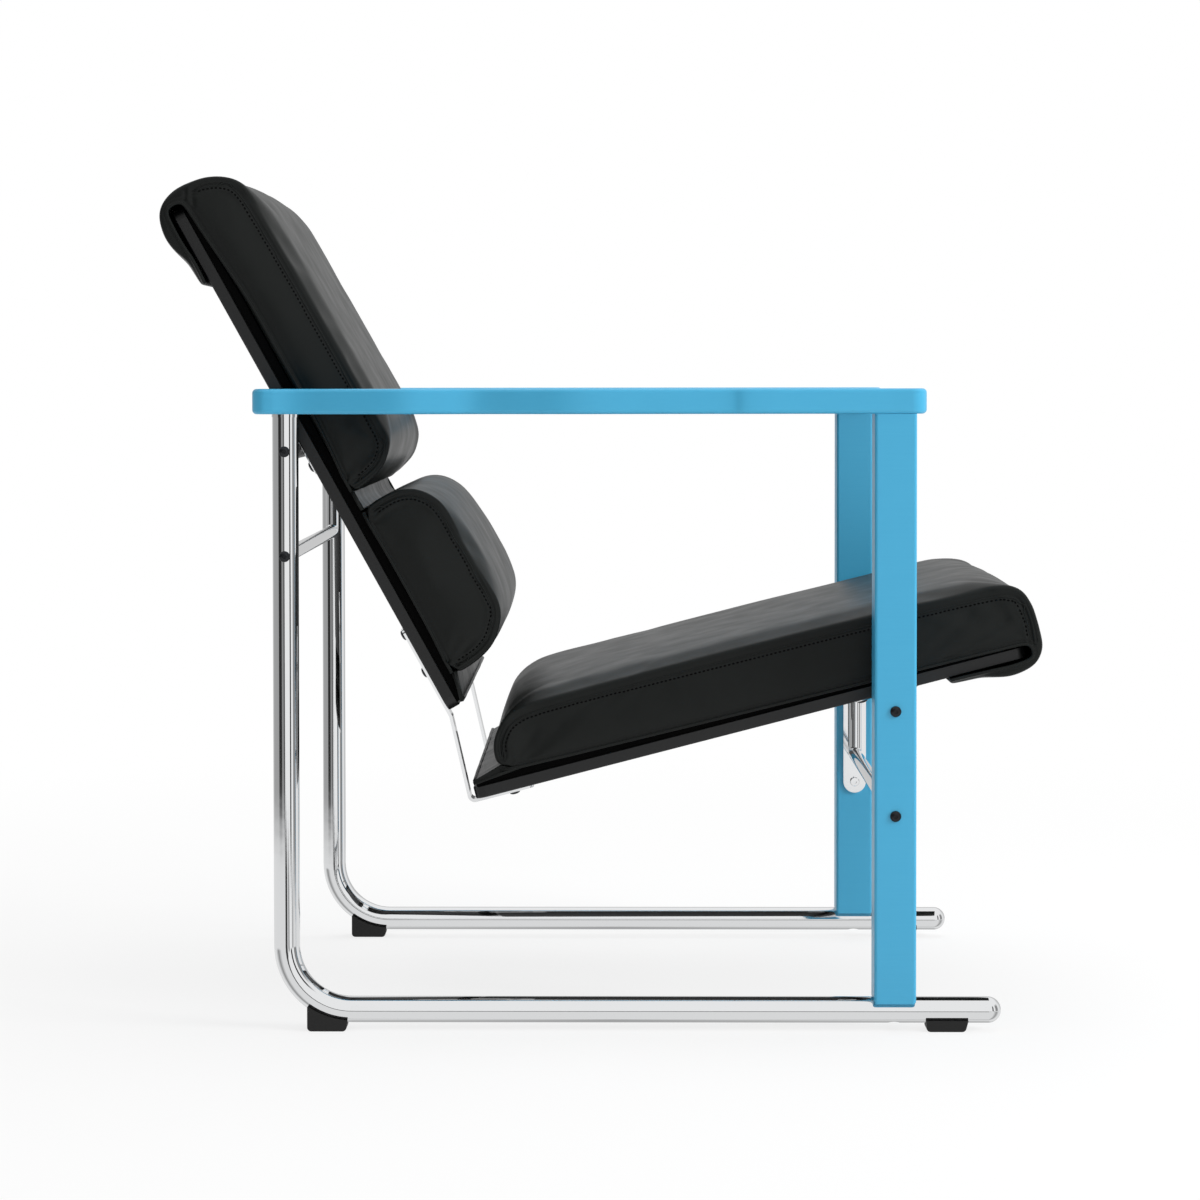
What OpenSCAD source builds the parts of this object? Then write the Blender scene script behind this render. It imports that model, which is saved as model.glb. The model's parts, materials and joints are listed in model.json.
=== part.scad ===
// Lounge chair with wavy wooden armrests, chromed side tubes and leather pads on plywood boards.
// It faces +X, +Z is up, and the origin lies on the floor under the middle of the chair.
// The sitter's right-hand side is at -Y.

/* [Layout] */
// How far the rear uprights stand behind the middle of the chair
upright_set = 301.7; // [280:0.1:330]
// Height of the top of the armrests
arm_height = 614; // [590:1:650]
// Clear width between the pads and the side tubes
side_gap = 20; // [18:0.5:40]
// Lean of the back, from the vertical
back_lean = 29; // [25:0.5:32]
// Slope of the seat, from the horizontal
seat_slope = 14.5; // [11:0.5:18]

/* [Side tubes] */
// Outer diameter of the side tubes
tube_d = 25; // [22:0.5:27]
// Wall of the side tubes
tube_wall = 2; // [1.5:0.1:3]
// Bend radius at the centre line of the side tubes
bend_r = 62.5; // [50:0.5:80]
// How far a runner goes on in front of its post, up to its end cap
runner_reach = 90; // [80:1:130]
// Clear height under the runners
runner_clear = 7; // [5:0.5:12]
// Height of the plug's rim between an upright and its armrest
plug_rim = 3; // [2:0.5:6]
// Depth of the plugs inside the tubes
plug_depth = 20; // [12:1:30]

/* [Feet] */
// Length of each rubber foot
foot_len = 40; // [30:1:44]
// Width of each rubber foot
foot_w = 24; // [21:0.5:30]
// How far a foot reaches up beside its tube
foot_grip = 3.5; // [2:0.5:5]
// Radius of the lower corners of a foot
foot_round = 4; // [2:0.5:5]
// Diameter of the peg that holds a foot in its tube
foot_peg_d = 8; // [6:0.5:9]
// Place of the front feet, in front of the posts
front_foot_set = 50.5; // [45:0.5:65]
// Place of the rear feet, in front of the rear uprights
rear_foot_set = 40; // [36:0.5:46]

/* [Posts] */
// Side of the square wooden posts
post_w = 40; // [38:1:46]
// Radius of the long edges of a post
post_round = 3; // [1:0.5:6]
// How far the foot of a post reaches down over its runner
post_saddle = 4; // [2:0.5:6]
// Diameter of the bolt that holds a post on its runner
post_bolt_d = 8; // [6:0.5:8]
// Depth of the post bolt in the wood
post_bolt_depth = 45; // [30:1:60]

/* [Armrests] */
// Thickness of the armrests
arm_t = 24; // [20:0.5:30]
// Radius of the upper and lower edges of an armrest
arm_round = 4; // [2:0.5:7]
// How far an armrest goes on behind the rear upright
arm_behind = 30; // [26:1:45]
// How far an armrest goes on in front of the middle of the post
arm_ahead = 30; // [28:1:45]
// Mean distance of the outer edge from the middle of the tube
arm_out = 33; // [31:1:40]
// Mean distance of the inner edge from the middle of the tube
arm_in = 33; // [31:1:40]
// Height of the waves along the edges
arm_wave = 7; // [3:0.5:8]
// Corner radius at the rear end
arm_rear_round = 13; // [8:1:18]
// Corner radius at the front end
arm_front_round = 15; // [8:1:18]
// Diameter of the hidden dowels between post and armrest
dowel_d = 8; // [6:0.5:10]
// Length of the hidden dowels
dowel_len = 36; // [28:1:40]
// Distance between the two dowels of a post
dowel_pitch = 18; // [14:1:22]
// Diameter of the stud that holds the armrest on the rear upright
stud_d = 6; // [5:0.5:8]

/* [Cross frames] */
// Distance between the two screws of a cross frame
screw_pitch = 99.8; // [90:0.1:115]
// Distance from the armrests down to the upper screws in the rear uprights
rear_screw_drop = 35.8; // [25:0.1:60]
// Diameter of the chromed cross rods
rod_d = 14; // [12:0.5:16]
// Bend radius at the centre line of the cross rods
rod_bend_r = 8; // [7.5:0.1:9]
// How far the rods' arms go on above the upper screws
rod_over = 10; // [8:0.5:16]
// Diameter of the black cross tubes that carry the boards
bar_d = 18; // [16:0.5:20]
// Wall of the black cross tubes
bar_wall = 2; // [1.5:0.1:2.5]
// Length of the threaded inserts in the ends of the cross tubes
insert_len = 25; // [15:1:40]
// Thickness of the plates on the posts
plate_t = 3; // [2:0.5:4]
// Width of the plates on the posts
plate_w = 25; // [22:0.5:28]
// Distance from the upper or lower screw to the plate's own bolt
plate_bolt_step = 31.5; // [28:0.5:40]

/* [Hanger plates] */
// Thickness of the hanger plates welded under the cross tubes
hanger_t = 3; // [2:0.5:4]
// Width of the hanger plates
hanger_w = 25; // [20:0.5:30]
// Half length of a hanger plate
hanger_half = 31.8; // [30:0.1:40]
// Distance of the hanger screws from the cross tube
hanger_screw_step = 23.5; // [20:0.5:24]
// Corner radius of the hanger plates and link straps
flat_round = 5; // [2:0.5:8]
// Distance of the hanger plates from the sides of the boards
hanger_in = 35; // [28:1:90]

/* [Boards] */
// Thickness of the plywood boards
board_t = 12; // [10:0.5:15]
// Length of the plywood boards
board_len = 552; // [545:1:580]
// How far the sides of the boards are set back from those of the pads
board_set = 7.5; // [5:0.5:12]
// Corner radius of the boards
board_corner = 12; // [4:1:20]
// Chamfer along the edges of the boards
board_chamfer = 1; // [0.5:0.5:2]
// Distance from the lower end of the back board up to its cross tube
back_low_hang = 295; // [280:1:310]
// How far the seat board goes on in front of its cross tube
seat_ahead = 140.5; // [130:0.5:160]

/* [Link straps] */
// Thickness of the link straps
strap_t = 3; // [2:0.5:4]
// Width of the link straps
strap_w = 25; // [18:0.5:30]
// Distance of the link straps from the sides of the boards
strap_in = 20.5; // [18:0.5:90]
// How far the seat board starts in front of the back board's lower end
strap_ahead = 26.1; // [20:0.1:40]
// How far the seat board starts below the back board's lower end
strap_drop = 86.2; // [75:0.1:100]
// Length of a strap's leg on the back board
strap_back_leg = 97; // [80:1:110]
// Length of a strap's leg under the seat board
strap_seat_leg = 57; // [45:1:80]
// How far the strap stands off the ends of the boards
strap_off = 6; // [5:0.5:10]
// Inside radius of the strap's bends
strap_bend = 4; // [3:0.5:8]
// First strap screw on the back leg, from the leg's free end
strap_screw_in = 6.5; // [6:0.5:12]
// Distance between the two strap screws on the back leg
strap_screw_pitch = 41.5; // [30:0.5:50]
// Strap screw on the seat leg, from the end of the seat board
strap_seat_screw = 37.5; // [25:0.5:40]

/* [Screws] */
// Thread diameter of the screws
screw_d = 6; // [5:0.5:6]
// Diameter of the rounded screw heads
head_d = 10.5; // [9.5:0.5:12]
// Height of the rounded screw heads
head_h = 3.3; // [2.5:0.1:4]
// Width across the corners of the hexagon sockets
hex_d = 4.6; // [4:0.1:5]
// Depth of the hexagon sockets
hex_depth = 2; // [1.5:0.1:2.4]
// Depth of the screws in the boards
board_screw_depth = 9; // [6:0.5:10]
// Outer diameter of the threaded sleeves in the boards
sleeve_d = 9; // [8:0.5:10]
// Diameter of the flat bolt heads on the post plates
bolt_head_d = 10; // [9:0.5:12]
// Height of the flat bolt heads on the post plates
bolt_head_h = 4; // [3:0.5:5]
// Depth of the plate bolts in the posts
plate_bolt_depth = 14; // [10:1:15]
// Depth of the frame screws in the rods and inserts
frame_screw_grip = 14; // [10:1:18]

/* [Pads] */
// Width of the leather pads
pad_w = 495; // [485:1:500]
// Radius with which a pad rolls over its side edges
pad_roll = 13; // [8:1:18]
// How much higher a pad is in the middle than at its sides
pad_crown = 5; // [0:0.5:10]
// How far the sides are drawn in at half length
pad_draw = 3; // [0:0.5:6]
// How far a pad reaches past the end of its board
pad_over = 17; // [14:0.5:22]
// Height of the upper back pad above the board
upper_h = 72; // [60:1:85]
// Length of the lower back pad
lower_len = 184; // [170:1:188]
// Distance from the lower back pad to the lower end of its board
lower_end = 28; // [20:1:50]
// Gap between the two back pads, over the leather strip
pad_gap = 16; // [10:1:30]
// Height of the lower back pad above the board
lower_h = 86; // [70:1:95]
// Height of the seat pad above the board
seat_h = 70; // [60:1:85]
// Place of the seat pad, from the rear end of the board
seat_start = 32; // [26:1:50]
// Thickness of the black lining under the pads
lining_t = 8; // [6:0.5:10]
// Length over which the lining thins towards the wrapped end
lining_taper = 105; // [80:1:140]
// Length over which the lining thins towards its free end
lining_drop = 30; // [20:1:60]
// How far the lining is set back from the sides of the pads
lining_set = 9; // [6:0.5:16]
// Thickness of the flat leather strips between and beside the pads
strip_t = 5; // [4:0.5:7]
// Length of the pockets behind the ends of the boards
pocket_reach = 78; // [60:1:90]
// Depth of the pocket behind the back board
back_pocket_depth = 17.5; // [14:0.5:20]
// Depth of the pocket under the seat board
seat_pocket_depth = 14.5; // [12:0.5:18]

/* [Hidden] */
$fn = 64;

// Clearances and overruns
cut = 1;            // overrun of a cut past the face that it opens
hole_gap = 0.2;     // round a screw in a plain hole
seat_gap = 0.05;    // round a screw in its thread, a sleeve or a peg in its hole
soft_gap = 0.3;     // between leather and what it lies on

// Side frame
frame_y = pad_w / 2 + side_gap + tube_d / 2;
runner_z = runner_clear + tube_d / 2;
tube_in = tube_d - 2 * tube_wall;
arm_z = arm_height - arm_t;
tube_top = arm_z - plug_rim;
post_z = runner_z + tube_d / 2 - post_saddle;

// Boards and pads
board_w = pad_w - 2 * board_set;
hanger_y = board_w / 2 - hanger_in;
strap_y = board_w / 2 - strap_in;
back_hang = board_len - back_low_hang;
seat_hang = board_len - seat_ahead;
lower_start = board_len - lower_end - lower_len;
upper_len = lower_start - pad_gap + pad_over;
seat_len = board_len + pad_over - seat_start;

// Screw axes: the seat hangs on the back by the straps, and the posts stand where that brings its cross tube
rear_screw_z = arm_z - rear_screw_drop;
rear_axis = [-upright_set, rear_screw_z];
axis_gap = bar_d / 2 + hanger_t;
back_foot = rear_axis + [back_low_hang * sin(back_lean) + axis_gap * cos(back_lean),
    axis_gap * sin(back_lean) - back_low_hang * cos(back_lean)];
seat_heel = back_foot + [strap_ahead, -strap_drop];
front_axis = seat_heel + [seat_hang * cos(seat_slope) + axis_gap * sin(seat_slope),
    seat_hang * sin(seat_slope) - axis_gap * cos(seat_slope)];
post_set = front_axis.x;
front_screw_z = front_axis.y;
runner_end = post_set + runner_reach;
rear_low_z = rear_screw_z - screw_pitch;
front_low_z = front_screw_z - screw_pitch;
post_in = frame_y - post_w / 2;
plate_in = post_in - plate_t;
rear_arm_y = frame_y - tube_d / 2 - rod_d / 2;
front_arm_y = plate_in - rod_d / 2;

// Armrest edges: place along the armrest, then place across in waves. Both have as many points
outer_wave_shares = [[0.03, -0.75], [0.07, -0.95], [0.14, 0.1], [0.22, 1], [0.275, 0.2], [0.33, -0.75],
    [0.405, 0.2], [0.483, 1], [0.59, 0.15], [0.7, -0.6], [0.74, -0.35], [0.85, -1.05], [0.95, -1.5]];
inner_wave_shares = [[0.95, 0.5], [0.85, 0.25], [0.74, 0.15], [0.7, 0], [0.59, -0.5], [0.483, 0.25],
    [0.405, -0.3], [0.33, -0.9], [0.275, -0.3], [0.22, 0.3], [0.14, -0.3], [0.07, -0.9], [0.03, -0.8]];
arm_len = arm_behind + upright_set + post_set + arm_ahead;

// Pad outlines, from the wrapped or upper end round the top: along the pad, then above the board
upper_outline_shares = [[0, 0.06], [0.004, 0.27], [0.015, 0.46], [0.0375, 0.665], [0.07, 0.8], [0.114, 0.872],
    [0.205, 0.935], [0.343, 0.976], [0.519, 1], [0.698, 0.998], [0.836, 0.965], [0.912, 0.905],
    [0.95, 0.775], [0.977, 0.58], [0.991, 0.38], [0.996, 0.2]];
lower_outline_shares = [[0.006, 0.19], [0.004, 0.38], [0.02, 0.6], [0.06, 0.775], [0.15, 0.905], [0.27, 0.965],
    [0.42, 0.99], [0.58, 1], [0.73, 0.982], [0.84, 0.925], [0.92, 0.8], [0.97, 0.6], [0.996, 0.36], [0.994, 0.2]];
seat_outline_shares = [[0.006, 0.17], [0.002, 0.36], [0.006, 0.6], [0.022, 0.8], [0.052, 0.925], [0.1, 0.985],
    [0.22, 1], [0.5, 1], [0.76, 0.99], [0.9, 0.955], [0.945, 0.925], [0.968, 0.86], [0.984, 0.73],
    [0.993, 0.56], [0.998, 0.36], [1, 0.16], [0.9995, 0.06]];
// Pocket outline, from the fold round the board's end: along the pocket, then behind the board
pocket_outer_shares = [[-0.198, 0.06], [-0.175, -0.08], [-0.133, -0.257], [-0.059, -0.577], [0.028, -0.783],
    [0.126, -0.909], [0.229, -0.985], [0.34, -1], [0.46, -0.9], [0.6, -0.64], [0.74, -0.55], [0.95, -0.5],
    [1, -0.37], [0.97, -0.22]];
pocket_inner_shares = [[0.77, -0.27], [0.564, -0.34], [0.36, -0.38], [0.19, -0.31], [0.05, -0.18]];

lining_top = board_t + lining_t;
fold_share = 0.4;
fold_t = board_t + lining_t * fold_share;
roll_steps = 4;

// Point u of the way along the smooth curve from b to c, which comes from a and goes to d
function curve_point(a, b, c, d, u) =
    (2 * b + (c - a) * u + (2 * a - 5 * b + 4 * c - d) * u * u + (3 * b - a - 3 * c + d) * u * u * u) / 2;
// Smooth curve through all points of a list, with n steps between two of them
function curve_through(p, n) = let(last = len(p) - 1) [
    for (i = [0 : last - 1]) for (k = [0 : n - 1])
        curve_point(p[max(i - 1, 0)], p[i], p[i + 1], p[min(i + 2, last)], k / n),
    p[last]];
// Table of shares turned into points of a given place and size
function scaled(shares, start, size) = [for (q = shares) [start.x + q.x * size.x, start.y + q.y * size.y]];
// Unit normal to the left of the line from a to b
function line_normal(a, b) = [a.y - b.y, b.x - a.x] / norm(b - a);
// Loop whose edges all lie a distance to the left of those of loop p
function moved_loop(p, gap) = let(n = len(p)) [for (i = [0 : n - 1])
    let(u = line_normal(p[(i + n - 1) % n], p[i]), v = line_normal(p[i], p[(i + 1) % n]))
    p[i] + gap * (u + v) / (1 + u * v)];
// Corner b between a and c, rounded with radius r in n steps
function rounded_corner(a, b, c, r, n) =
    let(u = (a - b) / norm(a - b), v = (c - b) / norm(c - b), half = acos(u * v) / 2, back = r / tan(half),
        mid = b + (u + v) / norm(u + v) * r / sin(half), p = b + u * back, q = b + v * back,
        a0 = atan2(p.y - mid.y, p.x - mid.x), a1 = atan2(q.y - mid.y, q.x - mid.x),
        turn = a1 - a0 > 180 ? a1 - a0 - 360 : a1 - a0 < -180 ? a1 - a0 + 360 : a1 - a0)
    [for (k = [0 : n]) mid + r * [cos(a0 + turn * k / n), sin(a0 + turn * k / n)]];

// Where a place along and off a board lies in the side view
function on_back_xz(s, t) = let(p = [s - back_hang, t + axis_gap])
    rear_axis + [p.x * sin(back_lean) + p.y * cos(back_lean), p.y * sin(back_lean) - p.x * cos(back_lean)];
function on_seat_xz(s, t) = let(p = [s - seat_hang, t + axis_gap])
    front_axis + [p.x * cos(seat_slope) - p.y * sin(seat_slope), p.x * sin(seat_slope) + p.y * cos(seat_slope)];

// Draws its children with x down the back board, y across it and z out of its front
module on_back() {
    translate([rear_axis.x, 0, rear_axis.y]) rotate([0, 90 - back_lean, 0])
        translate([-back_hang, 0, axis_gap]) children();
}
// Draws its children with x forward along the seat board and z out of its top
module on_seat() {
    translate([front_axis.x, 0, front_axis.y]) rotate([0, -seat_slope, 0])
        translate([-seat_hang, 0, axis_gap]) children();
}
// Turns its children's y axis up, so that an outline drawn flat stands in the side view
module upright(width) {
    rotate([90, 0, 0]) linear_extrude(width, center = true) children();
}
// Bore or rod along Y, centred on a place in the side view
module along_y(x, z, y0, y1, d) {
    translate([x, y0, z]) rotate([-90, 0, 0]) cylinder(h = y1 - y0, d = d);
}
// Both sides of the chair from the left one
module both_sides() {
    children();
    mirror([0, 1, 0]) children();
}
module left_or_right(right) {
    if (right) mirror([0, 1, 0]) children();
    else children();
}
// Flat outline with round corners
module round_plate(length, width, r) {
    square([length - 2 * r, width], center = true);
    square([length, width - 2 * r], center = true);
    for (x = [-1, 1]) for (y = [-1, 1])
        translate([x * (length / 2 - r), y * (width / 2 - r)]) circle(r);
}

// Rounded screw head with its hexagon socket and its shank, which points to -Z
module button_screw(shank) {
    steps = 5;
    rim_share = 0.35;
    difference() {
        rotate_extrude() polygon(concat([[0, 0], [head_d / 2, 0]],
            [for (k = [0 : steps]) let(a = 90 * k / steps * 0.86)
                [head_d / 2 * cos(a), head_h * (rim_share + (1 - rim_share) * sin(a) / sin(77.4))]],
            [[0, head_h]]));
        translate([0, 0, head_h - hex_depth]) cylinder(h = hex_depth + cut, d = hex_d, $fn = 6);
    }
    translate([0, 0, -shank]) cylinder(h = shank + seat_gap, d = screw_d);
}
// Flat-headed bolt with a hexagon socket, its shank to -Z
module flat_bolt(shank) {
    edge = bolt_head_h / 8;
    difference() {
        union() {
            cylinder(h = bolt_head_h - edge, d = bolt_head_d);
            translate([0, 0, bolt_head_h - edge]) cylinder(h = edge, d1 = bolt_head_d, d2 = bolt_head_d - 2 * edge);
        }
        translate([0, 0, bolt_head_h - hex_depth]) cylinder(h = hex_depth + cut, d = hex_d, $fn = 6);
    }
    translate([0, 0, -shank]) cylinder(h = shank + seat_gap, d = screw_d);
}

// Straight, bend, straight: what its outline sweeps along the path of a side tube
module tube_path() {
    low = runner_z + bend_r;
    translate([-upright_set, frame_y, low]) linear_extrude(tube_top - low) children();
    translate([-upright_set + bend_r, frame_y, low]) rotate([90, 0, 0]) rotate([0, 0, 180])
        rotate_extrude(angle = 90) translate([bend_r, 0]) children();
    translate([-upright_set + bend_r, frame_y, runner_z]) rotate([0, 90, 0])
        linear_extrude(runner_end + upright_set - bend_r) children();
}
module side_tube() {
    color("silver") difference() {
        tube_path() difference() {
            circle(d = tube_d);
            circle(d = tube_in);
        }
        // Frame screws through the upright
        for (z = [rear_screw_z, rear_low_z])
            along_y(-upright_set, z, frame_y - tube_d, frame_y + tube_d, screw_d + 2 * hole_gap);
        // Post bolt through the top of the runner, with a way in for its head from below
        translate([post_set, frame_y, runner_z]) cylinder(h = tube_d, d = post_bolt_d + 2 * hole_gap);
        translate([post_set, frame_y, 0]) cylinder(h = runner_z, d = 1.6 * post_bolt_d + 2 * hole_gap);
        // Pegs of the feet
        for (x = [foot_x(true), foot_x(false)])
            translate([x, frame_y, 0]) cylinder(h = peg_hole_top(x), d = foot_peg_d + 2 * seat_gap);
    }
}
function foot_x(rear) = rear ? rear_foot_set - upright_set : post_set + front_foot_set;
// Height at which a cut from below stops, inside the tube
function peg_hole_top(x) = x < bend_r - upright_set
    ? runner_z + bend_r - sqrt(bend_r * bend_r - pow(x + upright_set - bend_r, 2)) : runner_z;

module tube_end_cap() {
    color("silver") translate([runner_end, frame_y, runner_z]) rotate([0, 90, 0]) {
        intersection() {
            sphere(d = tube_d);
            cylinder(h = tube_d, d = 2 * tube_d);
        }
        translate([0, 0, -plug_depth]) cylinder(h = plug_depth + cut, d = tube_in - 2 * seat_gap);
    }
}
module tube_top_plug() {
    color("silver") translate([-upright_set, frame_y, tube_top]) difference() {
        union() {
            cylinder(h = plug_rim, d = tube_d + plug_rim / 3);
            translate([0, 0, -plug_depth]) cylinder(h = plug_depth + cut, d = tube_in - 2 * seat_gap);
        }
        translate([0, 0, -plug_depth - cut]) cylinder(h = plug_depth + plug_rim + 2 * cut, d = stud_d + 2 * seat_gap);
    }
}
stud_depth = arm_t * 0.7;
module armrest_studs() {
    color("dimgray") both_sides() translate([-upright_set, frame_y, tube_top - plug_depth])
        cylinder(h = plug_depth + plug_rim + stud_depth, d = stud_d);
}

// Side outline of a foot, square at the back and slanted at the front
module foot_outline(height) {
    slant = foot_len / 14;
    line = concat(
        rounded_corner([0, height], [0, 0], [foot_len, 0], foot_round, 6),
        rounded_corner([0, 0], [foot_len - slant, 0], [foot_len, height], foot_round, 6),
        [[foot_len, height], [0, height]]);
    translate([-foot_len / 2, 0]) polygon(line);
}
module foot(rear) {
    height = rear ? runner_clear + foot_grip + tube_d / 2 : runner_clear + foot_grip;
    top = runner_clear + foot_grip;
    color([0.1, 0.1, 0.1]) difference() {
        union() {
            difference() {
                translate([foot_x(rear), frame_y, 0]) upright(foot_w) foot_outline(height);
                tube_path() circle(d = tube_d);
                // Above the tube's underside the block only reaches up by its grip
                if (rear) rear_foot_top();
            }
            translate([foot_x(rear), frame_y, foot_round])
                cylinder(h = peg_hole_top(foot_x(rear)) - foot_round - tube_in / 4, d = foot_peg_d);
        }
        // Hollow under the peg, open to the floor side of the tube
        translate([foot_x(rear), frame_y, peg_hole_top(foot_x(rear)) - tube_in / 4 - foot_round])
            cylinder(h = foot_round + cut, d = foot_peg_d / 2);
    }
}
// What lies above the grip line, which follows the bend
module rear_foot_top() {
    grip_r = bend_r + tube_d / 2 - foot_grip;
    translate([-upright_set + bend_r, frame_y, runner_z + bend_r]) rotate([90, 0, 0])
        cylinder(h = 2 * foot_w, r = grip_r, center = true, $fn = 128);
}

module front_post() {
    top = arm_z;
    color([0.31, 0.67, 0.84]) difference() {
        intersection() {
            translate([post_set, frame_y, post_z]) linear_extrude(top - post_z)
                round_plate(post_w, post_w, post_round);
            // Rounded lower corners
            translate([post_set, frame_y, post_z]) upright(2 * post_w) polygon(concat(
                rounded_corner([-post_w / 2, post_w], [-post_w / 2, 0], [post_w / 2, 0], post_round, 5),
                rounded_corner([-post_w / 2, 0], [post_w / 2, 0], [post_w / 2, post_w], post_round, 5),
                [[post_w / 2, top], [-post_w / 2, top]]));
        }
        tube_path() circle(d = tube_d);
        translate([post_set, frame_y, post_z]) cylinder(h = post_bolt_depth + post_saddle + seat_gap,
            d = post_bolt_d + 2 * seat_gap);
        for (z = [front_screw_z, front_low_z])
            along_y(post_set, z, frame_y - post_w, frame_y + post_w, screw_d + 2 * hole_gap);
        for (z = [front_screw_z + plate_bolt_step, front_low_z - plate_bolt_step])
            along_y(post_set, z, post_in - cut, post_in + plate_bolt_depth + seat_gap, screw_d + 2 * seat_gap);
        for (x = [-1, 1]) translate([post_set + x * dowel_pitch / 2, frame_y, top - dowel_len / 2 - seat_gap])
            cylinder(h = dowel_len, d = dowel_d + 2 * seat_gap);
    }
}
// Bolts that hold the posts, with their heads inside the runners
module post_bolts() {
    head_z = runner_z + sqrt(pow(tube_in / 2, 2) - pow(0.75 * post_bolt_d, 2)) - seat_gap;
    color("dimgray") both_sides() translate([post_set, frame_y, head_z]) difference() {
        union() {
            translate([0, 0, -post_bolt_d / 2]) cylinder(h = post_bolt_d / 2, d = 1.5 * post_bolt_d);
            translate([0, 0, -seat_gap])
                cylinder(h = post_z + post_saddle + post_bolt_depth - head_z, d = post_bolt_d);
        }
        translate([0, 0, -post_bolt_d]) cylinder(h = 0.8 * post_bolt_d, d = hex_d, $fn = 6);
    }
}

// Outline turned round, to run the other way
function turned(p) = [for (i = [len(p) - 1 : -1 : 0]) p[i]];
// Plan outline of an armrest: its first half runs forward along the inner edge, its second back along the outer one
function arm_outline() = turned(arm_line());
function arm_line() =
    let(x0 = -upright_set - arm_behind, x1 = post_set + arm_ahead,
        outer = scaled(outer_wave_shares, [x0, frame_y + arm_out], [arm_len, arm_wave]),
        inner = scaled(inner_wave_shares, [x0, frame_y - arm_in], [arm_len, arm_wave]),
        fo = outer[len(outer) - 1], fi = inner[0], ro = outer[0], ri = inner[len(inner) - 1])
    concat(rounded_corner([x0, ri.y], [x0, ro.y], ro, arm_rear_round, 6),
        curve_through(outer, 2),
        rounded_corner(fo, [x1, fo.y], [x1, fi.y], arm_front_round, 6),
        rounded_corner([x1, fo.y], [x1, fi.y], fi, arm_front_round, 6),
        curve_through(inner, 2),
        rounded_corner(ri, [x0, ri.y], [x0, ro.y], arm_rear_round, 6));
// Faces between m rings of n points each
function ring_faces(n, m) = [for (k = [0 : m - 2]) for (i = [0 : n - 1]) let(j = (i + 1) % n) each
    [[k * n + i, (k + 1) * n + i, (k + 1) * n + j], [k * n + i, (k + 1) * n + j, k * n + j]]];
// Faces across the ring that starts at point o, between its first half and its second
function cap_faces(n, o) = [for (i = [0 : n / 2 - 2]) let(j = n - 1 - i) each
    [[o + i, o + i + 1, o + j - 1], [o + i, o + j - 1, o + j]]];
// Solid between rings of equal length, closed by flat ends
module ring_solid(rings) {
    n = len(rings[0]);
    m = len(rings);
    top = cap_faces(n, (m - 1) * n);
    polyhedron([for (r = rings) for (p = r) p],
        concat(cap_faces(n, 0), ring_faces(n, m), [for (f = top) turned(f)]));
}
module armrest() {
    loop = arm_outline();
    steps = 3;
    turns = [for (k = [0 : steps]) 90 * k / steps];
    low = [for (a = turns) [arm_round * (1 - sin(a)), arm_round * (1 - cos(a))]];
    levels = concat(low, [for (k = [steps : -1 : 0]) [low[k].x, arm_t - low[k].y]]);
    color([0.31, 0.67, 0.84]) difference() {
        ring_solid([for (v = levels) [for (p = moved_loop(loop, v.x)) [p.x, p.y, arm_z + v.y]]]);
        for (x = [-1, 1]) translate([post_set + x * dowel_pitch / 2, frame_y, arm_z - cut])
            cylinder(h = dowel_len / 2 + cut + seat_gap, d = dowel_d + 2 * seat_gap);
        translate([-upright_set, frame_y, arm_z - cut])
            cylinder(h = stud_depth + cut + seat_gap, d = stud_d + 2 * seat_gap);
    }
}
module armrest_dowels() {
    color("burlywood") both_sides() for (x = [-1, 1])
        translate([post_set + x * dowel_pitch / 2, frame_y, arm_z - dowel_len / 2]) cylinder(h = dowel_len, d = dowel_d);
}

module post_plate() {
    low = front_low_z - plate_bolt_step;
    high = front_screw_z + plate_bolt_step;
    color("silver") difference() {
        union() {
            translate([post_set, plate_in + plate_t / 2, (low + high) / 2])
                cube([plate_w, plate_t, high - low], center = true);
            for (z = [low, high]) along_y(post_set, z, plate_in, post_in, plate_w);
        }
        for (z = [front_screw_z, front_low_z])
            along_y(post_set, z, plate_in - cut, post_in + cut, screw_d + 2 * hole_gap);
        for (z = [low, high]) along_y(post_set, z, plate_in - cut, post_in + cut, screw_d + 2 * hole_gap);
    }
}
module plate_bolts() {
    color("silver") both_sides() for (z = [front_low_z - plate_bolt_step, front_screw_z + plate_bolt_step])
        translate([post_set, plate_in, z]) rotate([90, 0, 0]) flat_bolt(plate_t + plate_bolt_depth);
}

// U-shaped rod: one side from the middle of the chair out and up
module rod_side(x, z, arm_y, top) {
    along_y(x, z, 0, arm_y - rod_bend_r, rod_d);
    translate([x, arm_y - rod_bend_r, z + rod_bend_r]) rotate([0, -90, 0]) rotate([0, 0, 90])
        rotate([0, 0, 90]) rotate_extrude(angle = -90) translate([rod_bend_r, 0]) circle(d = rod_d);
    translate([x, arm_y, z + rod_bend_r]) cylinder(h = top - z - rod_bend_r, d = rod_d);
}
module cross_rod(x, low_z, arm_y) {
    high_z = low_z + screw_pitch;
    color("silver") difference() {
        both_sides() rod_side(x, low_z, arm_y, high_z + rod_over);
        both_sides() along_y(x, low_z, arm_y - frame_screw_grip - rod_bend_r, arm_y + rod_d, screw_d + 2 * seat_gap);
        both_sides() along_y(x, high_z, arm_y - rod_d, arm_y + rod_d, screw_d + 2 * hole_gap);
    }
}
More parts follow.
